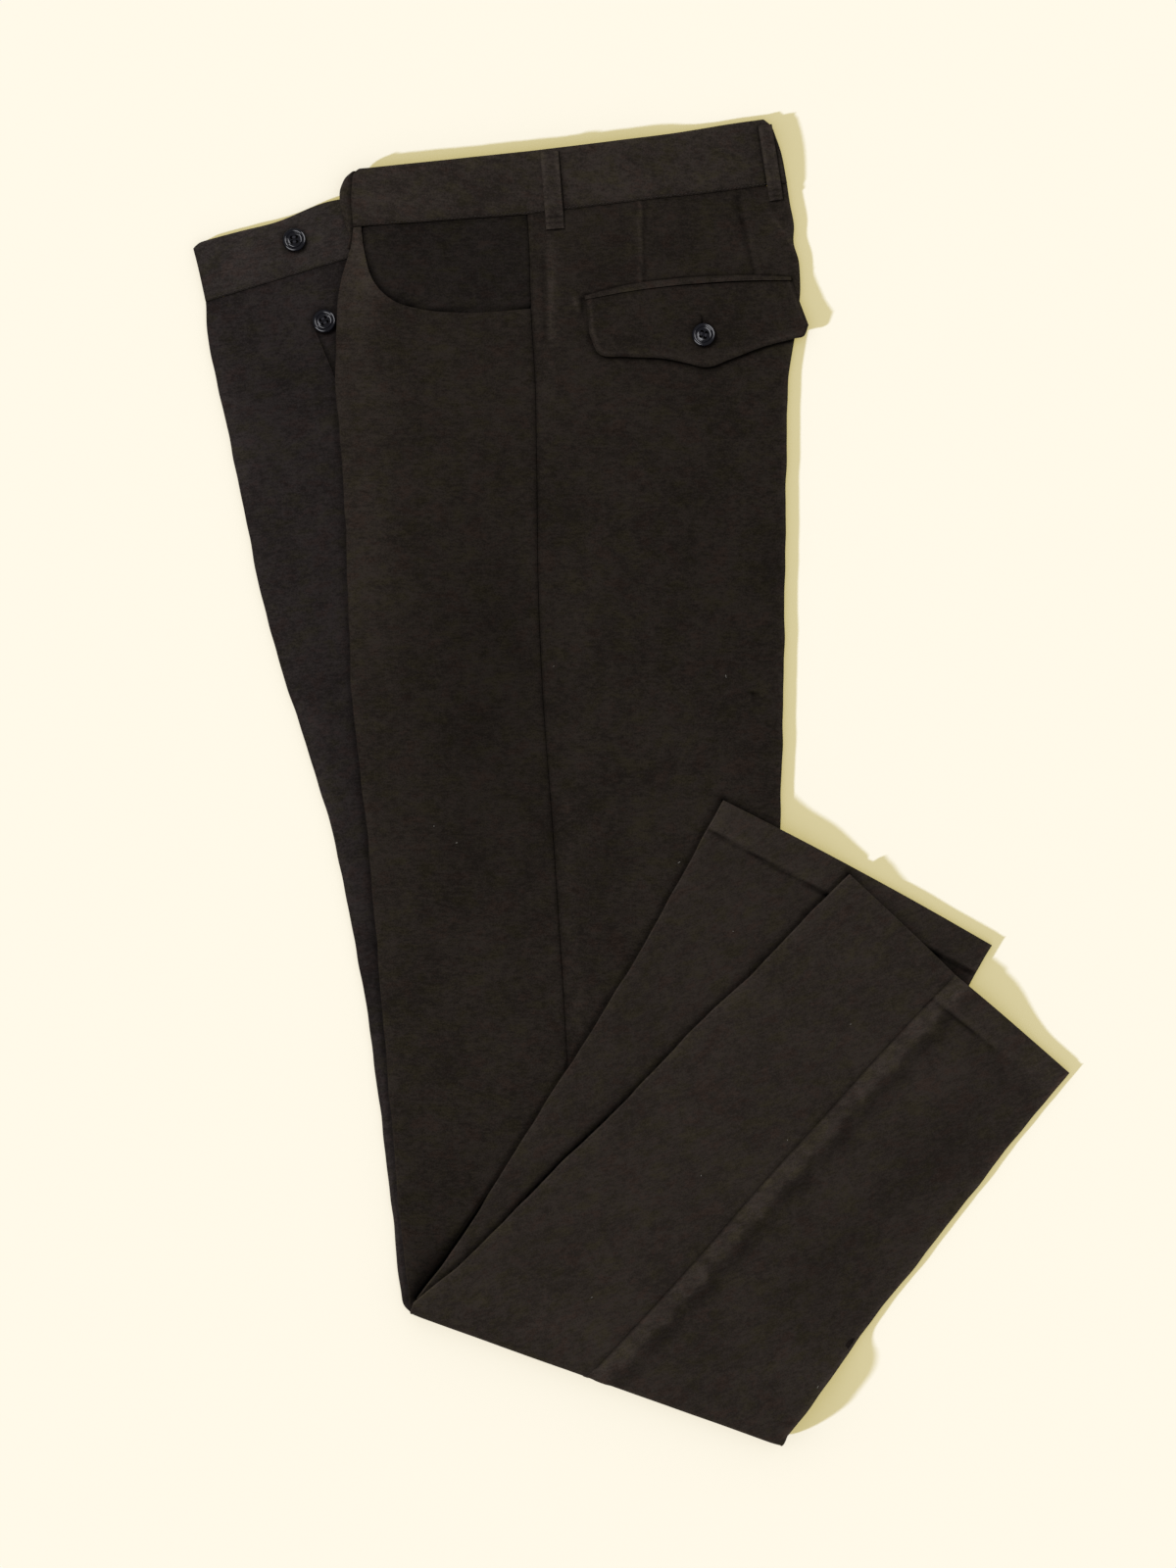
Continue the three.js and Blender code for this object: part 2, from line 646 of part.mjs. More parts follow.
function rightWaistband() {
  const [fold, , end] = RIGHT_WAIST;
  const rows = evenly(COLUMNS.rightWaist).map((t) => ({
    front: lerp(pointOf(fold, "seam"), pointOf(fold, "top"), t),
    seam: lerp(pointOf(end, "seam"), pointOf(end, "top"), t),
    turn: 0,
  }));
  const size = { raise: WAIST_RAISE, thick: WAIST_PLY, fromSeam: 0 };
  const wall = { ...size, columns: COLUMNS.rightWaist };
  return foldedWall(rows, "front", heights.rightUpper, wall);
}

function leftLowerPanels() {
  const wall = plain(COLUMNS.lower);
  const cut = (side) =>
    largest(foldedWall(leftLower, side, heights.leftLower, wall).subtract(underRightLower));
  return { left_lower_front: cut("front"), left_lower_back: cut("back") };
}

function rightLowerPanels() {
  const rows = [...kneeRows(rightLower[0], KNEE_STEPS), ...rightLower];
  const wall = plain(COLUMNS.lower);
  return {
    right_lower_front: foldedWall(rows, "front", heights.rightLower, wall),
    right_lower_back: foldedWall(rows, "back", heights.rightLower, wall),
  };
}

// Every hidden layer of both legs as one solid.
function foldedLayers() {
  const top = PLY + SEAM_GAP;
  const lower = (table, deep, open, height) =>
    filling(legRows(table, deep), legRows(table, open), COLUMNS.lower, height);
  const parts = [
    leftUpperFilling(),
    lower(LEFT_LOWER, leftLowerPlaces.deep, leftLowerPlaces.open, heights.leftLower),
    lower(RIGHT_LOWER, rightLowerInner, rightLowerPlaces.open, heights.rightLower),
    kneeFilling(top),
    leftWaistFilling(top),
    rightUpperFilling(top),
    rightWaistFilling(top),
    rightWaistUpperLip(),
  ];
  return parts.reduce((a, b) => a.add(b));
}

// The filling of the upper left leg, between the waist seam and the knee.
function leftUpperFilling() {
  const columns = (row) => {
    const front = columnsOf(row, COLUMNS.front).slice(0, COLUMNS.front + 4);
    const back = columnsOf(row, COLUMNS.back).slice(COLUMNS.back + 4);
    return [...front, ...back];
  };
  const grid = (zOf) => leftUpper.map((row) => columns(row).map((c) => [...c.p, zOf(c)]));
  const height = heights.leftUpper;
  const upper = grid(({ p }) => height(p) - PLY - SEAM_GAP);
  const lower = grid(({ p, deep }) => (deep ? 0 : height(p) - PLY - SEAM_GAP - RIM));
  return solidOf(shell(upper, lower));
}

// The rounded filling of the knee fold, from just inside its axis to its nose.
function kneeFilling(top) {
  const radius = BEND - top;
  const inset = 2 * (LEG / 2 + BAND);
  const ends = [along(KNEE.front, kneeAlong, inset), along(KNEE.back, kneeAlong, -inset)];
  const line = (reach, half) => {
    const points = evenly(KNEE_COLUMNS).map((t) => along(lerp(...ends, t), kneeOut, reach));
    return { points, top: STACK - BEND - half, bottom: STACK - BEND + half };
  };
  const nose = NOSE_ANGLES.map(radians).map((angle) =>
    line(radius * Math.sin(angle), radius * Math.cos(angle)),
  );
  return slab([...nose, line(-2 * KNEE_CLEAR, radius)], () => STACK);
}

// The filling behind the left waistband, with the slot at its top edge.
function leftWaistFilling(top) {
  const length = lengthOf(lineOf(LEFT_WAIST, "seamX", "seamY"));
  const inset = LEG / 2 + BAND + STEP;
  const line = (t, depths) => {
    const [row] = legRows(LEFT_WAIST, [t]);
    const end = (side) => along(row[side], unit(row.seam, row[side]), -inset);
    const front = evenly(COLUMNS.front).map((u) => lerp(end("front"), row.seam, u));
    const back = evenly(COLUMNS.back).slice(1).map((u) => lerp(row.seam, end("back"), u));
    return { points: [...front, ...back], ...depths };
  };
  const whole = { top, bottom: LEG };
  const lip = { top: LEG - PLY, bottom: LEG };
  const below = line(0, whole);
  const overlap = { ...below, points: below.points.map((p) => [p[0], p[1] - WAIST_OVERLAP]) };
  return slab(
    [
      overlap,
      line(1 - (MOUTH + STEP) / length, whole),
      line(1 - MOUTH / length, lip),
      line(1 - LIP_BACK / length, lip),
    ],
    heights.leftUpper,
  );
}

// The filling of the upper right leg, whose back fold lies hidden under the left leg.
function rightUpperFilling(top) {
  const rows = rightUpperRows(UPPER_ROWS).map((row) => {
    const out = unit(row.seam, row.front);
    const base = along(row.front, out, -LEG / 2);
    const rim = along(base, out, -BAND);
    return [base, rim, along(rim, out, -STEP), row.back].map((p, i) => ({ p, deep: i > 1 }));
  });
  const upper = rows.map((row) => row.map(({ p }) => [...p, LEG - top]));
  const lower = rows.map((row) => row.map(({ p, deep }) => [...p, deep ? 0 : LEG - top - RIM]));
  return solidOf(shell(upper, lower));
}

const waistDepth = distance(pointOf(RIGHT_WAIST[0], "top"), pointOf(RIGHT_WAIST[0], "seam"));

// A line across the right half of the waist, at a distance below its top edge.
function rightWaistLine(rows, fromTop, inset) {
  const points = rows.map((row) => {
    const up = pointOf(row, "top");
    return along(up, unit(up, pointOf(row, "seam")), fromTop);
  });
  points[0] = along(points[0], unit(points[0], points[1]), inset);
  return points;
}

function rightWaistFilling(top) {
  const inset = LEG / 2 + BAND + STEP;
  const line = (fromTop, upper) => ({
    points: rightWaistLine(RIGHT_WAIST, fromTop, inset),
    top: upper,
    bottom: LEG,
  });
  return slab(
    [
      line(waistDepth + WAIST_OVERLAP, top),
      line(MOUTH + STEP, top),
      line(MOUTH, LEG - PLY),
      line(LIP_BACK, LEG - PLY),
    ],
    heights.rightUpper,
  );
}

// The upper wall of the right half's waist where the left half hides it.
function rightWaistUpperLip() {
  const rows = RIGHT_WAIST.slice(2);
  const line = (fromTop) => ({
    points: rightWaistLine(rows, fromTop, LEG),
    top: 0,
    bottom: PLY,
  });
  return slab([line(waistDepth + WAIST_OVERLAP), line(0)], heights.rightUpper);
}

// ---- Small pieces on the panels ----

// Grid lines from one long edge of a table of edges to the other.
function linesBetween(rows, grid, lift) {
  const top = lineOf(rows, "topX", "topY");
  const bottom = lineOf(rows, "bottomX", "bottomY");
  return evenly(grid.along).map((t) =>
    evenly(grid.across).map((u) => [...lerp(top(t), bottom(t), u), lift]),
  );
}

function pocketWelt() {
  const lines = linesBetween(WELT, WELT_GRID, SEAM_GAP);
  return flatWall(lines, heights.leftUpper, POCKET.thick);
}

function pocketFlap() {
  const lines = linesBetween(FLAP, FLAP_GRID, SEAM_GAP);
  return flatWall(lines, heights.leftUpper, POCKET.thick);
}

// A belt loop that lies on the waistband and steps down to the panel at its foot.
function flatLoop({ topX, topY, footX, footY, width }) {
  const seamAt = 1 - LOOP.foot;
  const down = unit([topX, topY], [footX, footY]);
  const across = [-down[1], down[0]];
  const lines = evenly(LOOP_ROWS.flat).map((t) => {
    const middle = lerp([topX, topY], [footX, footY], t);
    const offBand = Math.max(0, (t - seamAt) / LOOP.foot);
    const bulge = LOOP.bulge * Math.sin(Math.PI * Math.min(1, t / seamAt));
    const lift = SEAM_GAP + WAIST_RAISE * (1 - offBand) + bulge;
    return [-1, 0, 1].map((k) => [...along(middle, across, (k * width) / 2), lift]);
  });
  return flatWall(lines, heights.leftUpper, LOOP.thick);
}

// The belt loop that stands off the waistband's front fold.
function frontLoop() {
  const { topY, footY, standOff, tail } = FRONT_LOOP;
  const centreDepth = LEG / 2 - WAIST_RAISE / 2;
  const inner = (LEG + WAIST_RAISE) / 2 + SEAM_GAP;
  const angles = FRONT_LOOP_ANGLES.map(radians);
  const lines = evenly(LOOP_ROWS.front).map((t) => {
    const y = topY + (footY - topY) * t;
    const base = [leftFoldAt(y) + LEG / 2, y];
    const out = standOff * Math.sin(Math.PI * t);
    const level = heights.leftUpper(base) - centreDepth;
    const ring = (r) => [
      [base[0] + tail, y, level + r],
      ...angles.map((a) => [base[0] - (r + out) * Math.sin(a), y, level + r * Math.cos(a)]),
    ];
    return { outer: ring(inner + LOOP.thick), inner: ring(inner) };
  });
  return solidOf(shell(lines.map((l) => l.outer), lines.map((l) => l.inner)));
}

// A four-hole button with a raised rim. Its edge is upright in the middle third.
function button({ x, y }, level) {
  const { radius, thick, rim, dish, hole, spread } = BUTTON;
  const profile = [
    [0, 0],
    [radius - rim, 0],
    [radius, thick / 3],
    [radius, (2 * thick) / 3],
    [radius - rim / 3, thick],
    [radius - rim, thick],
    [radius - 1.5 * rim, thick - dish],
    [0, thick - dish],
  ].map((p) => new THREE.Vector2(...p));
  const disc = new THREE.LatheGeometry(profile, BUTTON_SIDES.disc);
  disc.rotateX(Math.PI / 2);
  const turnedUp = volumeOf(disc) < 0 ? turned(disc) : disc;
  let solid = solidOf(turnedUp);
  [45, 135, 225, 315].map(radians).forEach((angle) => {
    const pin = new THREE.CylinderGeometry(hole, hole, 4 * thick, BUTTON_SIDES.hole);
    pin.rotateX(Math.PI / 2);
    pin.translate(spread * Math.cos(angle), spread * Math.sin(angle), 0);
    solid = solid.subtract(solidOf(pin));
  });
  return solid.translate([x, y, level]);
}

// ---- Assembly ----

const buttonLevel = {
  waistband: LEG + WAIST_RAISE + SEAM_GAP,
  fly: LEG + SEAM_GAP,
  flap: heights.leftUpper([BUTTONS.flap.x, BUTTONS.flap.y]) + POCKET.thick + 3 * SEAM_GAP,
};

const pieces = [
  { colour: CLOTH.hidden, solids: { folded_layers: foldedLayers() } },
  { colour: CLOTH.upper, solids: { ...rightPanels(), ...leftPanels() } },
  { colour: CLOTH.hidden, solids: { left_pocket_facing: pocketFacing() } },
  { colour: CLOTH.lower, solids: { ...leftLowerPanels(), ...rightLowerPanels() } },
  {
    colour: CLOTH.waist,
    solids: { right_waistband: rightWaistband(), left_waistband: leftWaistband() },
  },
  {
    colour: CLOTH.upper,
    solids: {
      belt_loop_front: frontLoop(),
      belt_loop_side: flatLoop(SIDE_LOOP),
      belt_loop_back: flatLoop(BACK_LOOP),
      back_pocket_welt: pocketWelt(),
      back_pocket_flap: pocketFlap(),
    },
  },
];

const group = new THREE.Group();
group.position.set(-CENTRE.x, -CENTRE.y, 0);

function addPiece(name, solid, material) {
  const mesh = new THREE.Mesh(geometryOf(solid), material);
  mesh.name = name;
  group.add(mesh);
}

for (const { colour, solids } of pieces) {
  for (const [name, solid] of Object.entries(solids)) {
    const cloth = new THREE.MeshStandardMaterial({ color: colour, roughness: 0.95 });
    addPiece(name, solid, cloth);
  }
}

for (const [name, spot] of Object.entries(BUTTONS)) {
  const horn = new THREE.MeshStandardMaterial({ color: 0x101116, roughness: 0.25 });
  addPiece(`${name}_button`, button(spot, buttonLevel[name]), horn);
}

export default group;
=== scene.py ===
import math

import bpy
import numpy as np
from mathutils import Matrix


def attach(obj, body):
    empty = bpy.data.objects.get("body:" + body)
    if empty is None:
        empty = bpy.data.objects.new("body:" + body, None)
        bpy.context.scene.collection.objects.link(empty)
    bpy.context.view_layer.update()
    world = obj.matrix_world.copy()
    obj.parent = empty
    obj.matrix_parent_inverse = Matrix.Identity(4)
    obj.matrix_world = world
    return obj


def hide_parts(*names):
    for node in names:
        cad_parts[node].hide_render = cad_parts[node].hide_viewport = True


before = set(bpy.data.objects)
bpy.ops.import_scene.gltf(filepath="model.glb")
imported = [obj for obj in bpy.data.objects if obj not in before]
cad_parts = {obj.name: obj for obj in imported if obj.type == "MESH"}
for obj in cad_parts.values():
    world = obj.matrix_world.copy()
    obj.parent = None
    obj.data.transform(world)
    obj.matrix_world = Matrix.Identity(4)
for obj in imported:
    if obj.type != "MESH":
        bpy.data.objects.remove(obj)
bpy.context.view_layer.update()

# Moleskin trousers, folded sideways and then up at the knee, lying flat on a table.
# Sizes and places are in millimetres on the laid-out garment; built() turns them into metres.
MM = 0.001
CENTRE = np.array([-0.1, -0.7])   # the garment's own zero, moved to the middle of its outline

# ---- Driving sizes ----

PLY = 1.2            # one wall of moleskin
SEAM_GAP = 0.3
LEG = 3.6            # one leg, laid flat
PITCH = 4.4          # from one leg to the leg on it
STACK = LEG + 3 * PITCH
BEND = STACK / 2     # radius of the knee fold
DRAPE = 60           # how far a leg takes to fall from the edge of the leg under it
TUCK = 9.4           # how far a wall runs on under a fold
WAIST_RAISE = 0.6
WAIST_PLY = PLY + WAIST_RAISE
KNEE_BLEND = 75
KNEE_SLANT = 0.4     # how far the seam runs along the knee fold as it goes round it
POCKET_PLY = 1.4
POCKET_RECESS = 0.2
CELL = 1.7           # spacing of the cloth's mesh
LIP = 8              # width of the soft lip along a fold
LIP_DROP = 0.45      # how far the lip falls towards the fold
FOLD_STEPS = 7       # facets round a side fold
KNEE_STEPS = 16      # facets round the knee fold

HEM_BOW = 2.0        # how far a hem's edge swells between its corners
CLOSED_SEAM = 0.02   # half the gap at the seams of the lower legs

BUTTON_RADIUS = 7.3
BUTTON_THICK = 3.2
BUTTON_RIM = 1.0     # how far the rounded rim stands above the wall
# From the wall inwards: width and rise of each step over the rim and into the dish.
BUTTON_PROFILE = [
    (0.20, 0.50), (0.35, 0.32), (0.50, 0.18), (0.50, 0.0), (0.45, -0.25), (0.35, -0.45),
    (0.25, -0.35), (0.35, 0.20), (0.35, 0.10), (0.60, -0.25), (1.20, -0.10),
]
BUTTON_BEVEL = 0.12
BUTTON_HOLE = 1.1
HOLE_SPREAD = 2.05   # from the button's middle to each hole
THREAD_SINK = 1.1    # how far the thread lies below the button's full height

RIGHT_ROWS = 270     # rows of mesh down the right front
UNDERLAP_ROWS = 110  # how many of them the underlap of the fly has
FACING_ROWS = 34
FACING_SHARE = 0.3   # share of the leg's length that the pocket's facing takes up
WAIST_ROWS = 34
RIGHT_WAIST_ROWS = 32
LEFT_HEM_DEPTH = 20
RIGHT_HEM_DEPTH = 18
RIGHT_HEM_FADE = 118  # how far along the right hem its line starts to fade
LOOP_SEAM = 0.88     # share of a belt loop's length above the waist seam
LOOP_PLY = 1.5
TABLE_DROP = 0.2     # keeps the table's face apart from the garment's underside

# Where a waistband's top edge swells or dips: height, place across and width.
LEFT_WAIST_RISES = [(2.8, 78, 46)]
RIGHT_WAIST_RISES = [(3.2, -194, 20), (-1.0, -226, 16), (-3.0, -279, 3.5)]

# ---- Tables ----


def table(names, rows):
    """Rows of numbers as named columns."""
    return dict(zip(names.split(), np.array(rows, float).T))


def points(rows, name):
    """One line of a table, or the only line where the columns are just X and Y."""
    return np.stack([rows[name + "X"], rows[name + "Y"]], axis=1)


# Each row crosses a leg laid flat: its front fold, the seam in the middle and its back fold.
CROSS = "frontX frontY seamX seamY backX backY"

LEFT_UPPER = table(CROSS, [
    [-176.5, 351.9, -66.2, 359.9, 98.7, 380.4],
    [-180.6, 330.0, -64.9, 338.0, 102.6, 355.0],
    [-183.6, 319.0, -64.6, 325.5, 102.6, 343.0],
    [-185.8, 308.0, -64.3, 313.0, 106.2, 330.0],
    [-187.3, 284.0, -63.1, 287.0, 106.6, 305.0],
    [-187.5, 254.0, -61.2, 255.1, 100.6, 266.3],
    [-185.8, 229.1, -60.6, 229.1, 98.7, 236.5],
    [-182.7, 191.9, -60.0, 191.9, 98.1, 195.0],
    [-179.9, 125.0, -59.2, 125.0, 97.2, 125.0],
    [-177.2, 55.5, -56.3, 55.5, 96.3, 55.5],
    [-167.9, -28.2, -50.1, -28.2, 94.4, -31.0],
    [-160.4, -115.0, -44.5, -115.0, 94.4, -118.0],
    [-153.6, -195.6, -39.5, -198.7, 94.4, -205.0],
    [-145.5, -288.6, -33.9, -291.7, 94.4, -298.0],
    [-141.2, -322.7, -29.6, -345.0, 94.4, -370.0],
    [-140.6, -331.0, -28.5, -365.0, 94.4, -396.0],
    [-137.6, -335.6, -27.5, -372.0, 94.4, -404.0],
])
LEFT_WAIST = table(CROSS, [
    [-176.5, 352.2, -66.2, 360.2, 98.6, 380.7],
    [-177.8, 370.0, -64.0, 379.8, 95.0, 398.8],
    [-177.2, 380.5, -62.2, 391.2, 91.5, 408.6],
    [-176.6, 386.0, -61.2, 396.8, 88.6, 414.8],
    [-173.0, 389.0, -60.5, 400.8, 84.0, 418.2],
])
RIGHT_UPPER = table("frontX frontY underY backX backY", [
    [-270.2, 305.0, 336.2, -5.0, 350.0],
    [-269.4, 286.0, 312.0, -2.0, 320.0],
    [-261.5, 247.7, 266.0, 1.0, 270.0],
    [-250.9, 198.1, 206.0, 6.0, 210.0],
    [-233.0, 111.3, 111.3, 16.0, 111.3],
    [-218.7, 61.7, 61.7, 24.0, 61.7],
    [-202.6, 12.1, 12.1, 32.0, 12.1],
    [-188.3, -37.5, -37.5, 41.0, -37.5],
    [-178.4, -87.1, -87.1, 49.0, -87.1],
    [-169.1, -136.7, -136.7, 57.0, -140.0],
    [-156.1, -235.9, -235.9, 68.0, -245.0],
    [-150.5, -285.5, -285.5, 76.0, -300.0],
    [-146.6, -321.5, -321.5, 84.0, -345.0],
    [-144.6, -330.6, -330.6, 86.0, -380.0],
    [-139.6, -336.0, -336.0, 87.0, -396.0],
])
RIGHT_WAIST = table("topX topY seamX seamY", [
    [-278.1, 342.0, -270.2, 305.3],
    [-223.8, 357.6, -218.5, 321.2],
    [-168.2, 372.4, -168.2, 336.5],
])
LEFT_LOWER = table(CROSS, [
    [-136.3, -325.2, -41.0, -359.0, 58.0, -394.0],
    [-114.5, -297.0, -19.0, -326.0, 77.0, -365.0],
    [-89.7, -258.2, 8.0, -284.0, 98.0, -328.0],
    [-58.7, -208.0, 37.0, -236.0, 125.0, -283.0],
    [-27.7, -159.7, 68.0, -184.0, 155.0, -231.0],
    [9.5, -98.3, 100.0, -128.0, 187.0, -175.0],
    [34.3, -53.0, 122.0, -90.0, 209.0, -137.0],
    [57.8, -10.5, 141.0, -55.8, 228.5, -102.6],
])
RIGHT_LOWER = table(CROSS, [
    [-137.8, -327.5, -23.0, -368.5, 98.0, -411.6],
    [-102.1, -297.3, 1.0, -343.0, 118.0, -387.0],
    [-52.5, -247.1, 43.0, -297.0, 152.0, -341.0],
    [-2.9, -198.7, 84.0, -250.0, 184.0, -301.0],
    [38.0, -155.3, 121.0, -210.5, 214.0, -262.5],
    [83.9, -111.9, 158.3, -169.5, 243.0, -225.5],
    [118.0, -76.0, 188.0, -138.0, 265.0, -198.5],
    [137.9, -57.4, 203.5, -122.5, 277.9, -183.8],
])
KNEE_FRONT = np.array([-137.8, -327.5])
KNEE_BACK = np.array([98.0, -411.6])

POCKET_CURVE = table("X Y", [
    [-171.6, 356.0], [-169.5, 338.0], [-163.5, 318.0], [-151.5, 306.0],
    [-133.0, 300.0], [-110.0, 298.0], [-86.0, 298.6], [-60.0, 301.0],
])
FLY_SEAM = table("X Y", [
    [-207.0, 330.0], [-204.5, 304.0], [-201.5, 290.0], [-194.5, 273.0],
    [-188.5, 258.0], [-184.5, 246.0], [-172.0, 232.0],
])
WELT = table("topX topY bottomX bottomY", [
    [-30.2, 308.6, -29.4, 306.0],
    [-2.9, 315.4, -2.9, 311.0],
    [34.3, 320.4, 34.3, 316.0],
    [71.5, 322.3, 71.5, 318.6],
    [101.0, 321.2, 101.0, 318.8],
])
FLAP = table("topX topY bottomX bottomY", [
    [-29.0, 305.6, -26.8, 284.0],
    [-20.0, 307.4, -20.4, 271.4],
    [-2.9, 310.6, -4.0, 269.8],
    [20.0, 313.8, 20.0, 268.8],
    [34.3, 315.3, 34.3, 266.2],
    [47.0, 316.3, 48.0, 263.6],
    [59.1, 317.1, 62.2, 268.6],
    [80.0, 318.0, 83.9, 276.8],
    [92.0, 318.2, 103.0, 281.8],
    [98.0, 318.2, 109.0, 283.4],
    [101.6, 318.2, 112.0, 290.4],
])
SIDE_LOOP = {"top": (-52.2, 399.6), "foot": (-48.4, 350.8), "width": 11.4}
BACK_LOOP = {"top": (84.4, 417.0), "foot": (91.6, 369.6), "width": 8.8}
# Outer edge of the loop that stands off the front fold, from its top down.
FRONT_LOOP = table("X Y", [
    [-177.0, 387.4], [-181.3, 383.5], [-184.0, 377.9], [-184.9, 374.2], [-184.6, 365.5],
    [-183.4, 359.3], [-181.5, 353.1], [-179.3, 346.9], [-177.9, 342.0], [-177.4, 338.4],
])

BUTTONS = {
    "waistband": (-213.7, 344.4),
    "fly": (-194.9, 293.0),
    "flap": (45.4, 284.0),
}

# Soft creases and ridges on each leg: from, to, height (a trough is negative) and half width.
LINES = "fromX fromY toX toY height width"
LEFT_CREASES = table(LINES, [
    [87.5, 362.0, 101.5, 342.0, 0.45, 2.2],
    [93.5, 362.0, 104.0, 345.0, -0.4, 2.4],
    [5.0, 370.0, 5.0, 314.0, 0.4, 1.8],
    [7.6, 370.0, 7.0, 318.0, -0.4, 1.6],
    [66.5, 374.0, 77.0, 323.0, -0.5, 1.6],
    [69.8, 374.0, 80.0, 325.0, 0.35, 2.0],
    [-55.2, 334.0, -54.6, 278.0, -0.55, 2.2],
    [-50.8, 346.0, -51.0, 276.0, 0.5, 2.8],
    [-36.6, 308.0, -33.6, 299.0, 0.7, 1.8],
    [-31.6, 308.0, -31.0, 299.0, -0.6, 1.6],
    [-33.0, 308.0, -33.0, 298.0, 0.6, 2.0],
    [60.0, 372.0, 48.0, 345.0, 0.3, 8.0],
    [20.0, 366.0, 28.0, 330.0, 0.25, 9.0],
    [-120.0, 290.0, -150.0, 230.0, 0.35, 14.0],
    [-96.0, 292.0, -92.0, 240.0, -0.3, 12.0],
    [-176.0, 200.0, -170.0, 60.0, 0.35, 12.0],
    [-80.0, 190.0, -110.0, 120.0, -0.3, 16.0],
    [-150.0, 130.0, -90.0, 40.0, 0.25, 18.0],
    [-30.0, 250.0, 60.0, 200.0, 0.3, 16.0],
    [80.0, 230.0, 20.0, 170.0, -0.3, 14.0],
    [90.0, 150.0, 30.0, 90.0, 0.25, 16.0],
    [-20.0, 120.0, 60.0, 20.0, -0.25, 20.0],
    [-140.0, -60.0, -70.0, -120.0, 0.25, 18.0],
    [-130.0, -200.0, -60.0, -240.0, -0.25, 18.0],
    [0.0, -60.0, 80.0, -90.0, 0.25, 20.0],
])
# Painted highlights and painted shade along the darts, the welt's pucker and one crease: from,
# to, amount and half width.
SEWN_LINE_LIGHT_AND_SHADE = table("fromX fromY toX toY amount width", [
    [5.2, 368.0, 5.0, 315.0, 0.65, 1.0],
    [8.0, 368.0, 7.4, 318.0, -0.3, 1.6],
    [66.5, 373.0, 69.6, 356.0, -0.38, 2.0],
    [69.6, 356.0, 77.2, 324.0, -0.42, 1.8],
    [70.2, 373.0, 80.6, 324.0, 0.18, 2.0],
    [88.0, 361.0, 101.5, 342.0, 0.4, 1.4],
    [-65.2, 358.0, -64.0, 334.0, 0.25, 1.6],
    [-51.0, 342.0, -51.0, 282.0, 0.35, 2.4],
    [-55.2, 330.0, -54.8, 282.0, -0.4, 2.0],
    [-36.4, 307.0, -33.8, 299.5, 0.8, 1.4],
    [74.6, 57.6, 80.0, 57.4, -0.5, 1.1],
    [77.0, 57.0, 77.6, 50.5, -0.5, 1.0],
    [82.0, 52.6, 97.0, 52.4, -0.22, 1.4],
    [-31.2, 307.0, -31.0, 299.0, -0.8, 1.2],
])
RIGHT_CREASES = table(LINES, [
    [-250.0, 260.0, -200.0, 200.0, 0.3, 12.0],
    [-230.0, 180.0, -200.0, 100.0, -0.3, 12.0],
    [-210.0, 60.0, -185.0, -20.0, 0.25, 10.0],
])
LEFT_LOWER_CREASES = table(LINES, [
    [-50.0, -185.0, 30.0, -190.0, 0.3, 12.0],
    [10.0, -60.0, 80.0, -110.0, -0.3, 14.0],
])
RIGHT_LOWER_CREASES = table(LINES, [
    [-40.0, -240.0, 60.0, -230.0, 0.3, 16.0],
    [40.0, -330.0, 120.0, -330.0, -0.3, 18.0],
    [120.0, -110.0, 180.0, -160.0, -0.25, 16.0],
    [170.0, -250.0, 230.0, -210.0, 0.3, 16.0],
])

# Patches of paler or darker colour: uneven tone, painted sheen in strips along the folds and
# painted shade beside the hems. Middle, half width, half height, turn, amount.
PATCHES = "x y wide high turn amount"
LEFT_PATCHES = table(PATCHES, [
    [-168.0, 200.0, 16.0, 130.0, 0.0, 0.30],
    [-174.0, 312.0, 11.0, 44.0, -6.0, 0.40],
    [-92.0, 70.0, 34.0, 90.0, 0.0, -0.20],
    [-150.0, -40.0, 20.0, 110.0, 4.0, 0.14],
    [-80.0, -190.0, 120.0, 110.0, 0.0, 0.24],
    [-52.0, 300.0, 5.0, 60.0, 0.0, 0.30],
    [-34.0, 60.0, 16.0, 120.0, 0.0, 0.10],
    [60.0, 120.0, 34.0, 70.0, 0.0, -0.05],
    [40.0, -90.0, 60.0, 60.0, 0.0, 0.18],
    [40.0, 20.0, 50.0, 60.0, 0.0, 0.12],
    [90.0, 350.0, 14.0, 26.0, 20.0, 0.16],
])
WAIST_PATCHES = table(PATCHES, [
    [-150.0, 372.0, 26.0, 14.0, 6.0, 0.8],
    [-90.0, 380.0, 30.0, 8.0, 6.0, -0.6],
    [20.0, 384.0, 30.0, 10.0, 8.0, 0.7],
    [-250.0, 332.0, 20.0, 12.0, 16.0, 1.2],
])
RIGHT_PATCHES = table(PATCHES, [
    [-258.0, 220.0, 12.0, 70.0, 12.0, 0.42],
    [-232.0, 90.0, 12.0, 80.0, 14.0, 0.34],
    [-185.0, -90.0, 10.0, 120.0, 9.0, 0.75],
    [-152.0, -270.0, 9.0, 90.0, 5.0, 1.1],
    [-215.0, 262.0, 22.0, 34.0, 0.0, -0.10],
])
LEFT_LOWER_PATCHES = table(PATCHES, [
    [60.0, -40.0, 60.0, 10.0, -27.0, 0.12],
    [190.0, -95.0, 44.0, 16.0, -27.0, -0.10],
    [204.0, -116.0, 18.0, 4.5, -44.0, -0.22],
    [-50.0, -205.0, 40.0, 14.0, 52.0, 0.15],
])
RIGHT_LOWER_PATCHES = table(PATCHES, [
    [-50.0, -340.0, 70.0, 12.0, -20.0, 0.14],
    [120.0, -375.0, 60.0, 16.0, -20.0, 0.12],
    [205.0, -220.0, 16.0, 60.0, -40.0, -0.12],
    [240.0, -290.0, 14.0, 80.0, -38.0, 0.18],
    [262.0, -186.0, 30.0, 14.0, -42.0, 0.22],
    [120.0, -300.0, 14.0, 60.0, -45.0, -0.14],
])

# ---- Lines and outlines ----


def ease(t):
    return (1 - np.cos(np.pi * np.clip(t, 0, 1))) / 2


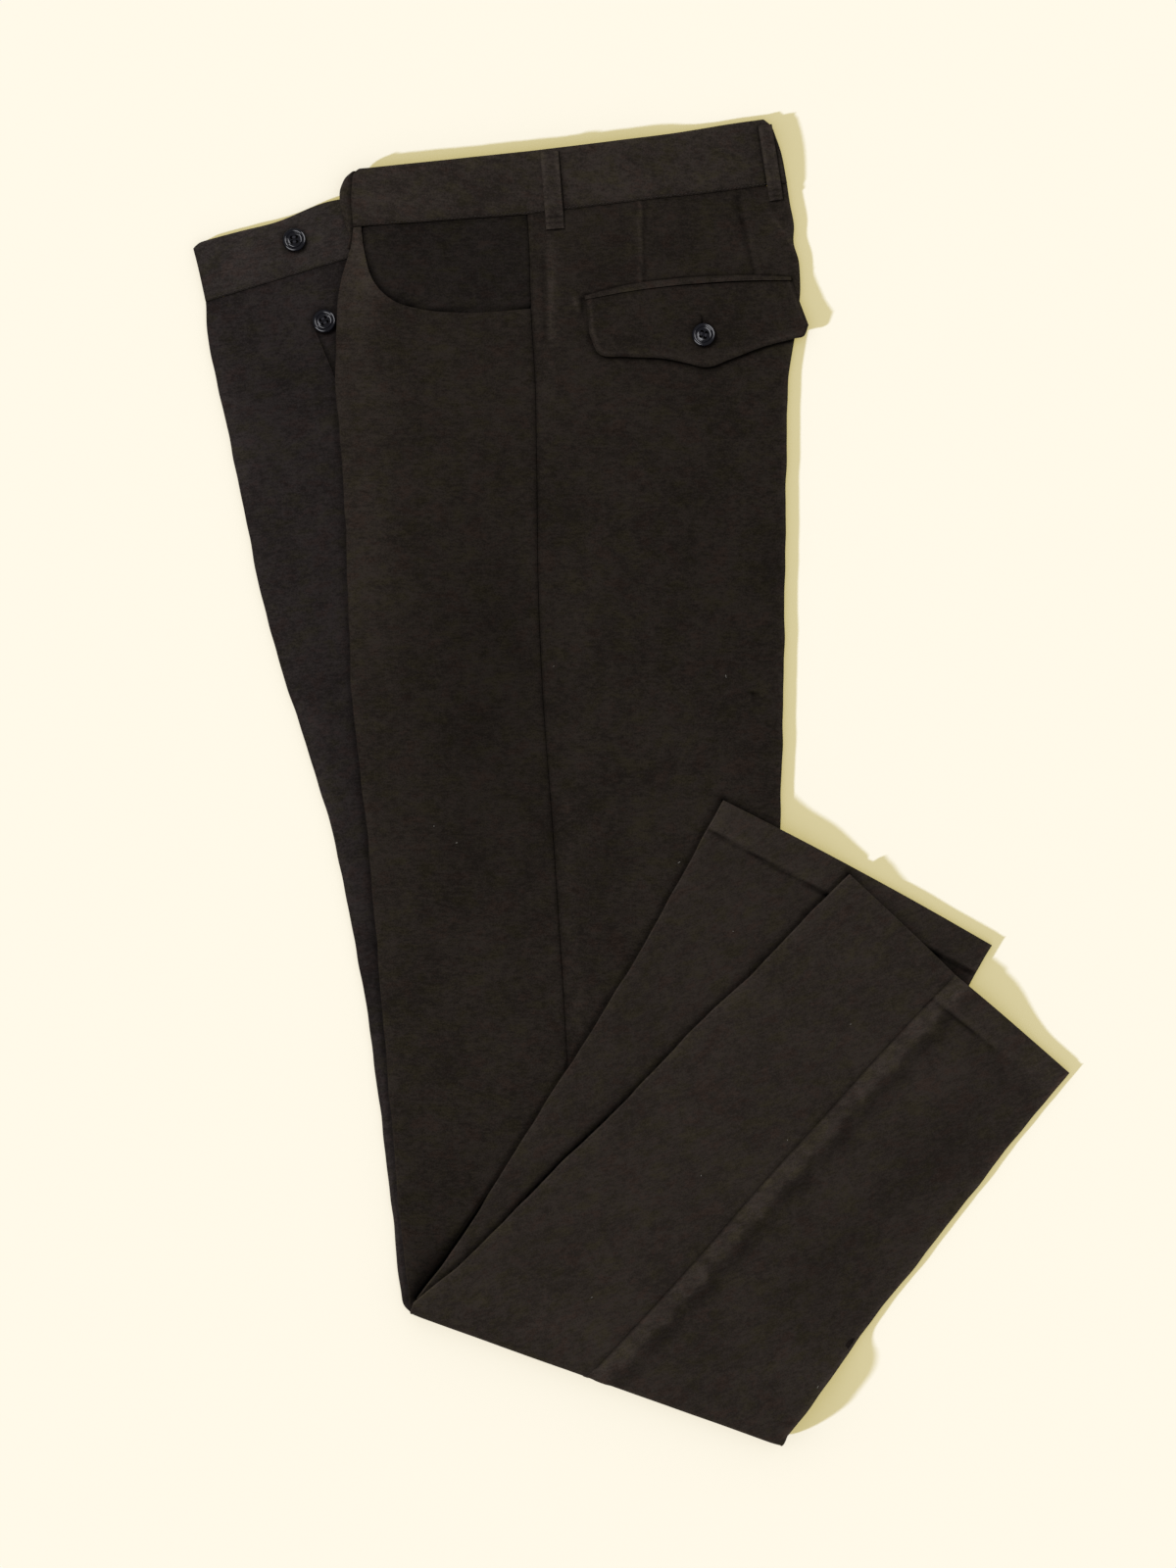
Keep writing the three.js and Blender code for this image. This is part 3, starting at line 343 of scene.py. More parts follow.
def unit(v):
    return v / np.linalg.norm(v, axis=-1, keepdims=True)


def bell(x, width):
    """1 at 0, falling smoothly to nothing on both sides."""
    return np.exp(-((x / width) ** 2))


def smooth_line(through):
    """A smooth line through points, as a function of places from 0 to 1."""
    ends = np.vstack([2 * through[0] - through[1], through, 2 * through[-1] - through[-2]])

    def at(places):
        place = np.atleast_1d(places) * (len(through) - 1)
        i = np.clip(place.astype(int), 0, len(through) - 2)
        w = (place - i)[:, None]
        a, b, c, d = (ends[i + k] for k in range(4))
        ga, gb, gc = (np.sqrt(np.linalg.norm(q - p, axis=1))[:, None]
                      for p, q in ((a, b), (b, c), (c, d)))
        leave = ((b - a) / ga - (c - a) / (ga + gb) + (c - b) / gb) * gb
        arrive = ((c - b) / gb - (d - b) / (gb + gc) + (d - c) / gc) * gb
        cube = 2 * (b - c) + leave + arrive
        return b + leave * w + (3 * (c - b) - 2 * leave - arrive) * w**2 + cube * w**3

    return at


def measured(line, samples=400):
    """A line's places and the length run up to each."""
    places = np.linspace(0, 1, samples + 1)
    steps = np.linalg.norm(np.diff(line(places), axis=0), axis=1)
    return places, np.concatenate([[0], np.cumsum(steps)])


def even_places(line, spacing):
    """Places along a line that are equally far apart."""
    places, run = measured(line)
    count = max(2, round(run[-1] / spacing))
    return np.interp(np.linspace(0, run[-1], count + 1), run, places)


def nearest_on(polyline, p):
    """Distance from each point to a polyline, the side it lies on, and how far along."""
    best = np.full(len(p), np.inf)
    side = np.zeros(len(p))
    run = np.zeros(len(p))
    start = 0.0
    for a, b in zip(polyline[:-1], polyline[1:]):
        length = np.linalg.norm(b - a)
        way = (b - a) / length
        reach = np.clip((p - a) @ way, 0, length)
        off = p - (a + reach[:, None] * way)
        gap = np.linalg.norm(off, axis=1)
        closer = gap < best
        best = np.where(closer, gap, best)
        cross = way[0] * (p[:, 1] - a[1]) - way[1] * (p[:, 0] - a[0])
        side = np.where(closer, np.sign(cross), side)
        run = np.where(closer, start + reach, run)
        start += length
    return best, side, run


def inside(outline, p):
    """True for each point within a closed outline."""
    found = np.zeros(len(p), bool)
    for a, b in zip(outline, np.roll(outline, -1, axis=0)):
        crosses = (a[1] > p[:, 1]) != (b[1] > p[:, 1])
        rise = b[1] - a[1] if b[1] != a[1] else 1e-9
        found ^= crosses & (p[:, 0] < a[0] + (b[0] - a[0]) * (p[:, 1] - a[1]) / rise)
    return found


def cover(outline, p):
    """1 on an outline, falling to 0 at DRAPE outside it."""
    ring = np.vstack([outline, outline[:1]])
    gap, _, _ = nearest_on(ring, p)
    return np.where(inside(outline, p), 1.0, 1 - ease(gap / DRAPE))


def sampled(rows, name, count=40):
    return smooth_line(points(rows, name))(np.linspace(0, 1, count))


def last_of(rows, place=-1):
    return np.array([points(rows, side)[place] for side in ("front", "seam", "back")])


SIDE_SEAM = sampled(LEFT_UPPER, "seam", 60)
LEFT_FOLD = sampled(LEFT_UPPER, "front", 60)
WAIST_TOP = last_of(LEFT_WAIST)
WAIST_FOOT = last_of(LEFT_WAIST, 0)
POCKET_LINE = sampled(POCKET_CURVE, "", 60)
FLY_LINE = sampled(FLY_SEAM, "")
FLAP_EDGE = sampled(FLAP, "bottom")
WELT_TOP = sampled(WELT, "top")
WELT_FOOT = sampled(WELT, "bottom")
LEFT_LOWER_EDGE = sampled(LEFT_LOWER, "front")
BACK_FOLDS = [sampled(rows, "back") for rows in (LEFT_UPPER, LEFT_LOWER, RIGHT_LOWER)]
LEFT_HEM = last_of(LEFT_LOWER)
RIGHT_LOWER_EDGE = sampled(RIGHT_LOWER, "front")
RIGHT_HEM = last_of(RIGHT_LOWER)
HEM_OUT = unit(np.array([1.0, 1.1]))
RIGHT_SIDE_SEAM = sampled(RIGHT_LOWER, "seam")

# ---- Height of each leg ----

knee_along = unit(KNEE_BACK - KNEE_FRONT)
knee_out = np.array([knee_along[1], -knee_along[0]])
knee_nose = [KNEE_FRONT + knee_out * BEND, KNEE_BACK + knee_out * BEND]

RIGHT_UPPER_OUTLINE = np.vstack([
    points(RIGHT_UPPER, "front"), knee_nose, points(RIGHT_UPPER, "back")[::-1],
    [[-10.0, 396.0], [-90.0, 385.0]], points(RIGHT_WAIST, "top")[::-1],
])
RIGHT_WAIST_OUTLINE = np.vstack([points(RIGHT_WAIST, "top"), points(RIGHT_WAIST, "seam")[::-1]])
LEFT_UPPER_OUTLINE = np.vstack([
    points(LEFT_UPPER, "front"), knee_nose, points(LEFT_UPPER, "back")[::-1],
    [points(LEFT_WAIST, side)[-1] for side in ("back", "seam", "front")],
])
LEFT_LOWER_OUTLINE = np.vstack([
    points(LEFT_LOWER, "front"), points(LEFT_LOWER, "back")[::-1], knee_nose[:1],
])
RIGHT_LOWER_OUTLINE = np.vstack([points(RIGHT_LOWER, "front"), points(RIGHT_LOWER, "back")[::-1]])


def right_upper_height(p):
    return np.full(len(p), LEG)


def left_upper_height(p):
    on_leg = PITCH * cover(RIGHT_UPPER_OUTLINE, p)
    return LEG + on_leg + WAIST_RAISE * cover(RIGHT_WAIST_OUTLINE, p)


def left_lower_height(p):
    return LEG + PITCH * (cover(RIGHT_UPPER_OUTLINE, p) + cover(LEFT_UPPER_OUTLINE, p))


def right_lower_height(p):
    under = (RIGHT_UPPER_OUTLINE, LEFT_UPPER_OUTLINE, LEFT_LOWER_OUTLINE)
    free = LEG + PITCH * sum(cover(outline, p) for outline in under)
    past_knee = -(p - KNEE_FRONT) @ knee_out
    return STACK + (free - STACK) * ease(past_knee / KNEE_BLEND)


# ---- Soft relief of the cloth ----


def waver(x, length, seed):
    """A smooth uneven wave of about -1 to 1, with the given wavelength."""
    parts = ((1.0, 0.5), (1.73, 0.3), (2.91, 0.2))
    return sum(w * np.sin(2 * np.pi * k * x / length + seed * (1.7 + k)) for k, w in parts)


def swell(p, seed, length=75.0):
    """The gentle unevenness of cloth that lies loose on a table."""
    u = waver(p[:, 0] + 0.4 * p[:, 1], length, seed)
    v = waver(p[:, 1] - 0.3 * p[:, 0], length * 1.3, seed + 2)
    return 0.22 * (u + v)


def creases(rows, p):
    """Sum of soft troughs and ridges."""
    total = np.zeros(len(p))
    for ax, ay, bx, by, height, width in zip(*rows.values()):
        line = np.array([[ax, ay], [bx, by]])
        gap, _, run = nearest_on(line, p)
        length = np.linalg.norm(line[1] - line[0])
        fade = np.sin(np.pi * np.clip(run / length, 0.12, 0.88))
        total += height * fade * bell(gap, width)
    return total


def tone_and_shade_patches(rows, p):
    """Sum of soft oval patches."""
    total = np.zeros(len(p))
    for x, y, wide, high, turn, amount in zip(*rows.values()):
        c, s = math.cos(math.radians(turn)), math.sin(math.radians(turn))
        off = p - [x, y]
        u = (off[:, 0] * c + off[:, 1] * s) / wide
        v = (off[:, 1] * c - off[:, 0] * s) / high
        total += amount * np.exp(-(u * u + v * v))
    return total


def groove(gap, depth, width):
    return -depth * bell(gap, width)


def pressed_by(line, p, depth=0.9, width=2.6):
    """The trough in the cloth along the edge of a leg that lies on it."""
    return groove(nearest_on(line, p)[0], depth, width)


def painted_sewn_line_light(p):
    """The darts, the welt's pucker and one crease, as painted highlights and painted shade: paler
    and darker lines in the colour.
    """
    total = np.zeros(len(p))
    for ax, ay, bx, by, amount, width in zip(*SEWN_LINE_LIGHT_AND_SHADE.values()):
        gap, _, _ = nearest_on(np.array([[ax, ay], [bx, by]]), p)
        total += amount * bell(gap, width)
    return total


def painted_fold_sheen(line, p, amount=0.3, width=2.0):
    """Painted sheen: the colour is paler along a fold."""
    return amount * np.exp(-nearest_on(line, p)[0] / width)


def painted_edge_shade(line, p, amount=-0.6, width=1.8):
    """Painted shade: the colour is darker along the edge of what lies on it."""
    return amount * np.exp(-nearest_on(line, p)[0] / width)


# Painted shadow: a dark ring in the cloth's colour round a button's edge.
def painted_button_shadow(name, p):
    return -0.6 * np.exp(-np.abs(np.linalg.norm(p - BUTTONS[name], axis=1) - BUTTON_RADIUS) / 1.6)


def allowance(gap, run, width, height, seed, lumps=0.0):
    """Band beside a seam where its turned-in edges lie underneath, with an uneven border."""
    edge = width * (1 + 0.18 * waver(run, 31, seed))
    lump = 1 + lumps * waver(run, 17, seed + 1)
    return height * lump * ease(gap / 2.5) * (1 - ease((gap - edge + 2.5) / 4.0))


# ---- Meshes ----


def grid_triangles(rows, columns):
    i, j = np.meshgrid(np.arange(rows - 1), np.arange(columns - 1), indexing="ij")
    a = (i * columns + j).ravel()
    b, c, d = a + 1, a + columns + 1, a + columns
    return np.vstack([np.stack([a, b, c], 1), np.stack([a, c, d], 1)])


def trimmed(verts, triangles, keep):
    """Cuts a surface along the line where keep is 0, and drops what lies below it."""
    verts = list(verts)
    made = {}

    def between(a, b):
        key = (min(a, b), max(a, b))
        if key not in made:
            w = keep[key[0]] / (keep[key[0]] - keep[key[1]])
            made[key] = len(verts)
            verts.append(verts[key[0]] * (1 - w) + verts[key[1]] * w)
        return made[key]

    kept = []
    for triangle in triangles:
        ring = []
        for k in range(3):
            a, b = triangle[k], triangle[(k + 1) % 3]
            if keep[a] >= 0:
                ring.append(a)
            if (keep[a] >= 0) != (keep[b] >= 0):
                ring.append(between(a, b))
        kept += [(ring[0], ring[k], ring[k + 1]) for k in range(1, len(ring) - 1)]
    return np.array(verts), np.array(kept)


def closed(outer, inner, triangles):
    """One closed shell from an outer and an inner copy of a surface."""
    used = np.unique(triangles)
    new = np.full(len(outer), -1)
    new[used] = np.arange(len(used))
    triangles = new[triangles]
    count = len(used)
    verts = np.vstack([outer[used], inner[used]])
    edges = np.vstack([triangles[:, [0, 1]], triangles[:, [1, 2]], triangles[:, [2, 0]]])
    have = set(map(tuple, edges))
    rim = np.array([e for e in map(tuple, edges) if e[::-1] not in have])
    a, b = rim[:, 0], rim[:, 1]
    walls = np.vstack([np.stack([b, a, a + count], 1), np.stack([b, a + count, b + count], 1)])
    faces = np.vstack([triangles, triangles[:, ::-1] + count, walls])
    corners = verts[faces]
    volume = np.einsum("ij,ij->i", corners[:, 0], np.cross(corners[:, 1], corners[:, 2])).sum()
    return verts, faces if volume > 0 else faces[:, ::-1]


def built(name, verts, faces, material, crisp=50, painted_light_and_tone_of=None):
    """A mesh object from points in millimetres on the garment. Its colour function gives how much
    paler or darker than the rest the colour is at each place, as a share: painted sheen, painted
    shade and uneven tone."""
    verts = np.array(verts, float)
    painted_light_and_tone = np.zeros(len(verts)) if painted_light_and_tone_of is None else painted_light_and_tone_of(verts[:, :2])
    verts[:, :2] -= CENTRE
    mesh = bpy.data.meshes.new(name)
    mesh.from_pydata((verts * MM).tolist(), [], np.asarray(faces).tolist())
    mesh.update()
    mesh.shade_smooth()
    if crisp:
        mesh.set_sharp_from_angle(angle=math.radians(crisp))
    mesh.materials.append(material)
    mesh.attributes.new("painted_light_and_tone", "FLOAT", "POINT").data.foreach_set("value", painted_light_and_tone.astype("f"))
    piece = bpy.data.objects.new(name, mesh)
    bpy.context.scene.collection.objects.link(piece)
    return piece


def worn(piece, *nodes, slot="moleskin"):
    """What every piece of the garment has: its body, and the node it stands for, which is hidden.
    The slot argument is not used.
    """
    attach(piece, "root")
    if nodes:
        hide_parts(*nodes)
    return piece


def cloth(name, outer, inner, material, nodes, keep=None,
          painted_light_and_tone_of=None):
    """A cut piece of cloth from two grids of points, its outer face and its inner face.
    A narrow trim isn't a sheet of its own: it goes with the piece that it is sewn on."""
    rows, columns, _ = outer.shape
    triangles = grid_triangles(rows, columns)
    both = np.concatenate([outer, inner], axis=2).reshape(-1, 6)
    if keep is None:
        keep = np.ones((rows, columns))
    else:
        both, triangles = trimmed(both, triangles, keep.ravel())
    verts, faces = closed(both[:, :3], both[:, 3:], triangles)
    piece = worn(built(name, verts, faces, material, painted_light_and_tone_of=painted_light_and_tone_of), *nodes)
    return piece


# ---- Walls of cloth round a leg ----


def leg_rows(rows, places):
    made = {side: smooth_line(points(rows, side))(places) for side in ("front", "seam", "back")}
    made["turn"] = np.zeros(len(places))
    made["tuck"] = np.zeros(len(places))
    return made


def with_knee(rows):
    """Puts the rows that go round the knee fold before a leg's first row."""
    turns = np.pi * (1 - np.arange(KNEE_STEPS) / KNEE_STEPS)
    under = np.array([TUCK, TUCK / 2])
    made = {}
    round_it = np.concatenate([[np.pi] * len(under), turns])
    for side in ("front", "seam", "back"):
        first = np.repeat(rows[side][:1], len(turns) + len(under), axis=0)
        if side == "seam":
            first = first - knee_along * KNEE_SLANT * BEND * round_it[:, None]
        made[side] = np.vstack([first, rows[side]])
    made["turn"] = np.concatenate([[np.pi] * len(under), turns, rows["turn"]])
    made["tuck"] = np.concatenate([under, 0 * turns, rows["tuck"]])
    return made


def placed(rows, plan, depth, level, height):
    """Points in space of a leg's grid: its plan, and its depth under the leg's face."""
    shape = plan.shape[:2]
    top = height(level.reshape(-1, 2)).reshape(shape)
    turn = rows["turn"][:, None] * np.ones(shape)
    tuck = rows["tuck"][:, None] * np.ones(shape)
    radius = BEND - depth
    reach = np.where(turn > 0, radius * np.sin(turn) - tuck, 0)
    xy = plan + reach[..., None] * knee_out
    z = np.where(turn > 0, BEND + radius * np.cos(turn), top - depth)
    return np.concatenate([xy, z[..., None]], axis=2)


def wall(rows, side, height, relief, raised=0.0, thick=PLY, from_seam=SEAM_GAP / 2, tuck=TUCK):
    """A wall of cloth from the seam over the leg, round its fold and on underneath."""
    out = unit(rows[side] - rows["seam"])
    radius = (LEG + raised) / 2
    steps = np.linalg.norm(np.diff(rows[side], axis=0), axis=1)
    run = np.concatenate([[0], np.cumsum(steps)])
    sway = (0 if raised else 0.45) * waver(run, 64, rows["seam"][0, 1])
    base = rows[side] - out * (radius - sway[:, None])
    start = rows["seam"] + out * from_seam
    count = max(2, round(np.linalg.norm(base - start, axis=1).mean() / CELL))
    u = np.linspace(0, 1, count + 1)[None, :, None]
    flat = start[:, None] * (1 - u) + base[:, None] * u
    angles = np.pi * np.arange(1, FOLD_STEPS + 1) / FOLD_STEPS
    under = np.linspace(0, tuck, 4)[1:]

    def face(inward):
        r = radius - inward
        round_it = base[:, None] + out[:, None] * (r * np.sin(angles))[None, :, None]
        back = base[:, None] - out[:, None] * under[None, :, None]
        plan = np.concatenate([flat, round_it, back], axis=1)
        level = np.concatenate([flat, np.repeat(base[:, None], len(angles), 1), back], axis=1)
        depth = np.concatenate([
            np.full(count + 1, inward - raised),
            radius - raised - r * np.cos(angles),
            np.full(len(under), LEG - inward),
        ])
        depth = np.repeat(depth[None], len(plan), axis=0)
        if not inward:
            lift = relief(flat.reshape(-1, 2)).reshape(flat.shape[:2])
            from_fold = (1 - u[0, :, 0]) * count * CELL
            settled = (1 - rows["turn"][:, None] / np.pi) ** 2
            depth[:, :count + 1] -= lift * ease(from_fold / 5) * settled
            depth[:, :count + 1] += LIP_DROP * (1 - np.clip(from_fold / LIP, 0, 1)) ** 2
        return placed(rows, plan, depth, level, height)

    return face(0.0), face(thick)


def bowed(grids, ends, out, by, reach=40):
    """Swells the open end of a wall outwards between two points, by a little."""
    length = np.linalg.norm(ends[1] - ends[0])
    for grid in grids:
        p = grid[..., :2].reshape(-1, 2)
        gap, _, run = nearest_on(ends, p)
        shift = by * np.sin(np.pi * run / length) * (1 - ease(gap / reach))
        grid[..., :2] += (shift[:, None] * out).reshape(*grid.shape[:2], 2)


def joined_grid(front, back):
    """One grid across both halves of a leg, from the front fold to the back fold."""
    return np.concatenate([front[:, ::-1], back[:, 1:]], axis=1)


# ---- Materials ----


def node(tree, kind, **inputs):
    made = tree.nodes.new(kind)
    for name, value in inputs.items():
        made.inputs[name.replace("_", " ")].default_value = value
    return made


def sum_of(tree, parts):
    """Adds outputs, each times its own weight, and returns the total."""
    total = None
    for output, weight in parts:
        term = tree.nodes.new("ShaderNodeMath")
        term.operation = "MULTIPLY_ADD"
        term.inputs[1].default_value = weight
        term.inputs[2].default_value = 0
        tree.links.new(output, term.inputs[0])
        if total is not None:
            tree.links.new(total, term.inputs[2])
        total = term.outputs[0]
    return total


def cloth_noise(tree, vector, scale, detail, roughness=0.6):
    made = node(tree, "ShaderNodeTexNoise", Scale=scale, Detail=detail, Roughness=roughness)
    tree.links.new(vector, made.inputs["Vector"])
    return made.outputs["Fac"]


def mapped(tree, vector, rotation=0.0, stretch=(1, 1, 1)):
    made = tree.nodes.new("ShaderNodeMapping")
    made.inputs["Rotation"].default_value = (0, 0, math.radians(rotation))
    made.inputs["Scale"].default_value = stretch
    tree.links.new(vector, made.inputs["Vector"])
    return made.outputs["Vector"]


# The nap's hues from russet over grey to olive.
NAP_HUES = [(0.37, (1.08, 0.96, 0.96)), (0.46, (0.99, 0.99, 1.04)), (0.54, (1.0, 1.0, 0.98)),
            (0.63, (1.01, 1.03, 0.86))]


def moleskin(name, shade, grain=0.0, contrast=1.0):
    """Brushed cotton: a soft mottled nap over a fine weave that runs along the grain.
    The nap is browner in some patches and greener in others. A per-point attribute makes it paler
    or darker with painted sheen, painted shade and uneven tone."""
    material = bpy.data.materials.new(name)
    material.use_nodes = True
    tree = material.node_tree
    link = tree.links.new
    shader = tree.nodes["Principled BSDF"]
    shader.inputs["Roughness"].default_value = 0.95
    shader.inputs["Specular IOR Level"].default_value = 0.02
    shader.inputs["Sheen Weight"].default_value = 0.008
    shader.inputs["Sheen Roughness"].default_value = 0.5
    shader.inputs["Sheen Tint"].default_value = (0.9, 0.78, 0.76, 1)
    coordinate = tree.nodes.new("ShaderNodeTexCoord")
    straight = mapped(tree, coordinate.outputs["Object"], rotation=grain)
    streaked = mapped(tree, straight, stretch=(0.4, 1, 1))
    clouds = cloth_noise(tree, straight, 26, 4)
    patches = cloth_noise(tree, straight, 115, 4, 0.7)
    streaks = cloth_noise(tree, streaked, 520, 3, 0.7)
    fluff = cloth_noise(tree, straight, 1000, 2)
    nap = sum_of(tree, [(clouds, 0.20), (patches, 0.20), (streaks, 0.30), (fluff, 0.30)])
    ramp = tree.nodes.new("ShaderNodeValToRGB")
    spread = 0.35 * contrast
    dark, light = ramp.color_ramp.elements
    dark.position, light.position = 0.43, 0.57
    dark.color = (*(c * (1 - spread) for c in shade), 1)
    light.color = (*(c * (1 + spread) for c in shade), 1)
    link(nap, ramp.inputs["Fac"])
    hues = cloth_noise(tree, mapped(tree, straight, stretch=(0.7, 1.2, 1)), 95, 4, 0.65)
    tint = tree.nodes.new("ShaderNodeValToRGB")
    for place, colour in NAP_HUES:
        stop = tint.color_ramp.elements.new(place)
        stop.color = (*colour, 1)
    tint.color_ramp.elements.remove(tint.color_ramp.elements[0])
    tint.color_ramp.elements.remove(tint.color_ramp.elements[-1])
    link(hues, tint.inputs["Fac"])
    tinted = tree.nodes.new("ShaderNodeVectorMath")
    tinted.operation = "MULTIPLY"
    link(ramp.outputs["Color"], tinted.inputs[0])
    link(tint.outputs["Color"], tinted.inputs[1])
    # Painted light: the colour is scaled by a per-point attribute of painted sheen, painted shade
    # and uneven tone.
    painted_light_and_tone = tree.nodes.new("ShaderNodeAttribute")
    painted_light_and_tone.attribute_name = "painted_light_and_tone"
    gain = tree.nodes.new("ShaderNodeMath")
    gain.operation = "MULTIPLY_ADD"
    gain.inputs[1].default_value = 1.0
    gain.inputs[2].default_value = 1.0
    link(painted_light_and_tone.outputs["Fac"], gain.inputs[0])
    painted_light_applied = tree.nodes.new("ShaderNodeVectorMath")
    painted_light_applied.operation = "SCALE"
    link(tinted.outputs["Vector"], painted_light_applied.inputs[0])
    link(gain.outputs[0], painted_light_applied.inputs["Scale"])
    link(painted_light_applied.outputs["Vector"], shader.inputs["Base Color"])
    raised = node(tree, "ShaderNodeBump", Strength=0.5, Distance=0.0005)
    link(nap, raised.inputs["Height"])
    weave = tree.nodes.new("ShaderNodeTexWave")
    weave.bands_direction = "DIAGONAL"
    weave.inputs["Scale"].default_value = 330
    weave.inputs["Distortion"].default_value = 1.5
    weave.inputs["Detail"].default_value = 1
    link(straight, weave.inputs["Vector"])
    woven = node(tree, "ShaderNodeBump", Strength=0.3, Distance=0.0001)
    link(weave.outputs["Fac"], woven.inputs["Height"])
    link(raised.outputs["Normal"], woven.inputs["Normal"])
    link(woven.outputs["Normal"], shader.inputs["Normal"])
    return material


def plain(name, colour, roughness, shine=0.5, speckle=0.0):
    """A hard or threadlike finish with a slight unevenness in its colour and gloss."""
    material = bpy.data.materials.new(name)
    material.use_nodes = True
    tree = material.node_tree
    link = tree.links.new
    shader = tree.nodes["Principled BSDF"]
    shader.inputs["Specular IOR Level"].default_value = shine
    coordinate = tree.nodes.new("ShaderNodeTexCoord")
    patches = node(tree, "ShaderNodeTexNoise", Scale=420, Detail=3, Roughness=0.5)
    link(coordinate.outputs["Object"], patches.inputs["Vector"])
    ramp = tree.nodes.new("ShaderNodeValToRGB")
    ramp.color_ramp.elements[0].color = (*(c * (1 - speckle) for c in colour), 1)
    ramp.color_ramp.elements[1].color = (*(c * (1 + speckle) for c in colour), 1)
    link(patches.outputs["Fac"], ramp.inputs["Fac"])
    link(ramp.outputs["Color"], shader.inputs["Base Color"])
    gloss = tree.nodes.new("ShaderNodeMapRange")
    gloss.inputs["To Min"].default_value = roughness * 0.8
    gloss.inputs["To Max"].default_value = roughness * 1.2
    link(patches.outputs["Fac"], gloss.inputs["Value"])
    link(gloss.outputs["Result"], shader.inputs["Roughness"])
    return material


upper_cloth = moleskin("moleskin_upper", (0.0160, 0.0128, 0.0103))
right_cloth = moleskin("moleskin_right", (0.0172, 0.0142, 0.0133), -8)
waist_cloth = moleskin("moleskin_waist", (0.0224, 0.0180, 0.0150), 6)
right_waist_cloth = moleskin("moleskin_right_waist", (0.0240, 0.0200, 0.0180), -16)
lower_cloth = moleskin("moleskin_lower", (0.0260, 0.0208, 0.0170), -20, 0.8)
facing_cloth = moleskin("moleskin_facing", (0.0126, 0.0103, 0.0088))
hidden_cloth = moleskin("moleskin_inside", (0.0120, 0.0097, 0.0082))
horn = plain("polished_button", (0.0016, 0.0016, 0.0028), 0.14, shine=0.3, speckle=0.15)
thread = plain("sewing_thread", (0.034, 0.028, 0.025), 0.8, shine=0.1, speckle=0.3)
button_yarn = plain("button_yarn", (0.022, 0.022, 0.028), 0.7, shine=0.2, speckle=0.3)
lint = plain("lint", (0.25, 0.24, 0.22), 0.9, shine=0.1, speckle=0.2)

# ---- Upper left leg ----


def tip_wedge(p):
    """1 in the hollow between the two legs beside the knee fold's tip, falling to 0."""
    gap, _, run = nearest_on(LEFT_LOWER_EDGE, p)
    width = 2.0 + 9.0 * bell(run - 20, 30)
    return bell(gap, width) * (1 - ease((run - 50) / 70))


def left_front_relief(p):
    seam_gap, _, seam_run = nearest_on(SIDE_SEAM, p)
    pocket_gap, _, _ = nearest_on(POCKET_LINE, p)
    rolled = 0.4 * bell(pocket_gap - 3.5, 3.0) + groove(pocket_gap, 0.5, 1.0)
    ridge = 0.3 * bell(seam_gap - 4.0, 4.0)
    return (swell(p, 1) + creases(LEFT_CREASES, p) + groove(seam_gap, 0.8, 1.3)
            + ridge + rolled + 0.15 * waver(seam_run, 40, 3) * np.exp(-seam_gap / 12)
            + pressed_by(LEFT_LOWER_EDGE, p) - 1.1 * tip_wedge(p))


def left_back_relief(p):
    gap, _, run = nearest_on(SIDE_SEAM, p)
    band = allowance(gap, run, 9.0, 0.6, 4, lumps=0.3)
    under_legs = pressed_by(LEFT_LOWER_EDGE, p) + pressed_by(LEFT_HEM, p)
    return swell(p, 5) + creases(LEFT_CREASES, p) + groove(gap, 0.9, 1.2) + band + under_legs


# Painted light and shade on the upper left leg: painted sheen along both folds, painted
# highlights beside the side seam and along the pocket's mouth, painted shadow under the flap,
# painted shade beside the lower legs and their hem, in the hollow at the knee fold's tip, along
# the waist seam and the welt, painted highlights and shade along the darts, and a dark line on
# the side seam; the patches add uneven tone as well as painted sheen.
def left_painted_light(p):
    gap, side, run = nearest_on(SIDE_SEAM, p)
    painted_seam_highlight = bell(gap - 9, 3.0) * (side > 0) * ease((-p[:, 1] + 20) / 60)
    rim = painted_fold_sheen(LEFT_FOLD, p, 0.42, 3.0) + painted_fold_sheen(BACK_FOLDS[0], p, 0.7, 1.8)
    mouth_gap, _, mouth_run = nearest_on(POCKET_LINE, p)
    mouth = 0.45 * bell(mouth_gap - 3, 4) * (1 - ease((mouth_run - 30) / 40))
    flap_gap, _, flap_run = nearest_on(FLAP_EDGE, p)
    painted_flap_shadow = -(0.55 + 0.15 * ease(flap_run / 90)) * bell(flap_gap, 2.4)
    return (tone_and_shade_patches(LEFT_PATCHES, p) + 0.2 * painted_seam_highlight * (1 + waver(run, 45, 7)) + rim + mouth
            + painted_flap_shadow - 0.35 * np.exp(-gap / 0.9) + painted_sewn_line_light(p)
            + painted_edge_shade(LEFT_LOWER_EDGE, p, -0.7, 1.5) - 0.75 * tip_wedge(p)
            + painted_edge_shade(LEFT_HEM, p, -0.75, 2.4) + painted_edge_shade(WAIST_FOOT, p, -0.4, 1.4)
            + painted_edge_shade(WELT_TOP, p, -0.7, 0.8) + painted_edge_shade(WELT_FOOT, p, -0.5, 0.8))


def pocket_keep(grid):
    """Below or left of the pocket's mouth, so that the mouth is cut out of the front."""
    p = grid[..., :2].reshape(-1, 2)
    gap, side, _ = nearest_on(POCKET_LINE, p)
    above = (side > 0) & (p[:, 0] > POCKET_LINE[0, 0])
    return np.where(above, -gap, gap + 1e-4).reshape(grid.shape[:2])


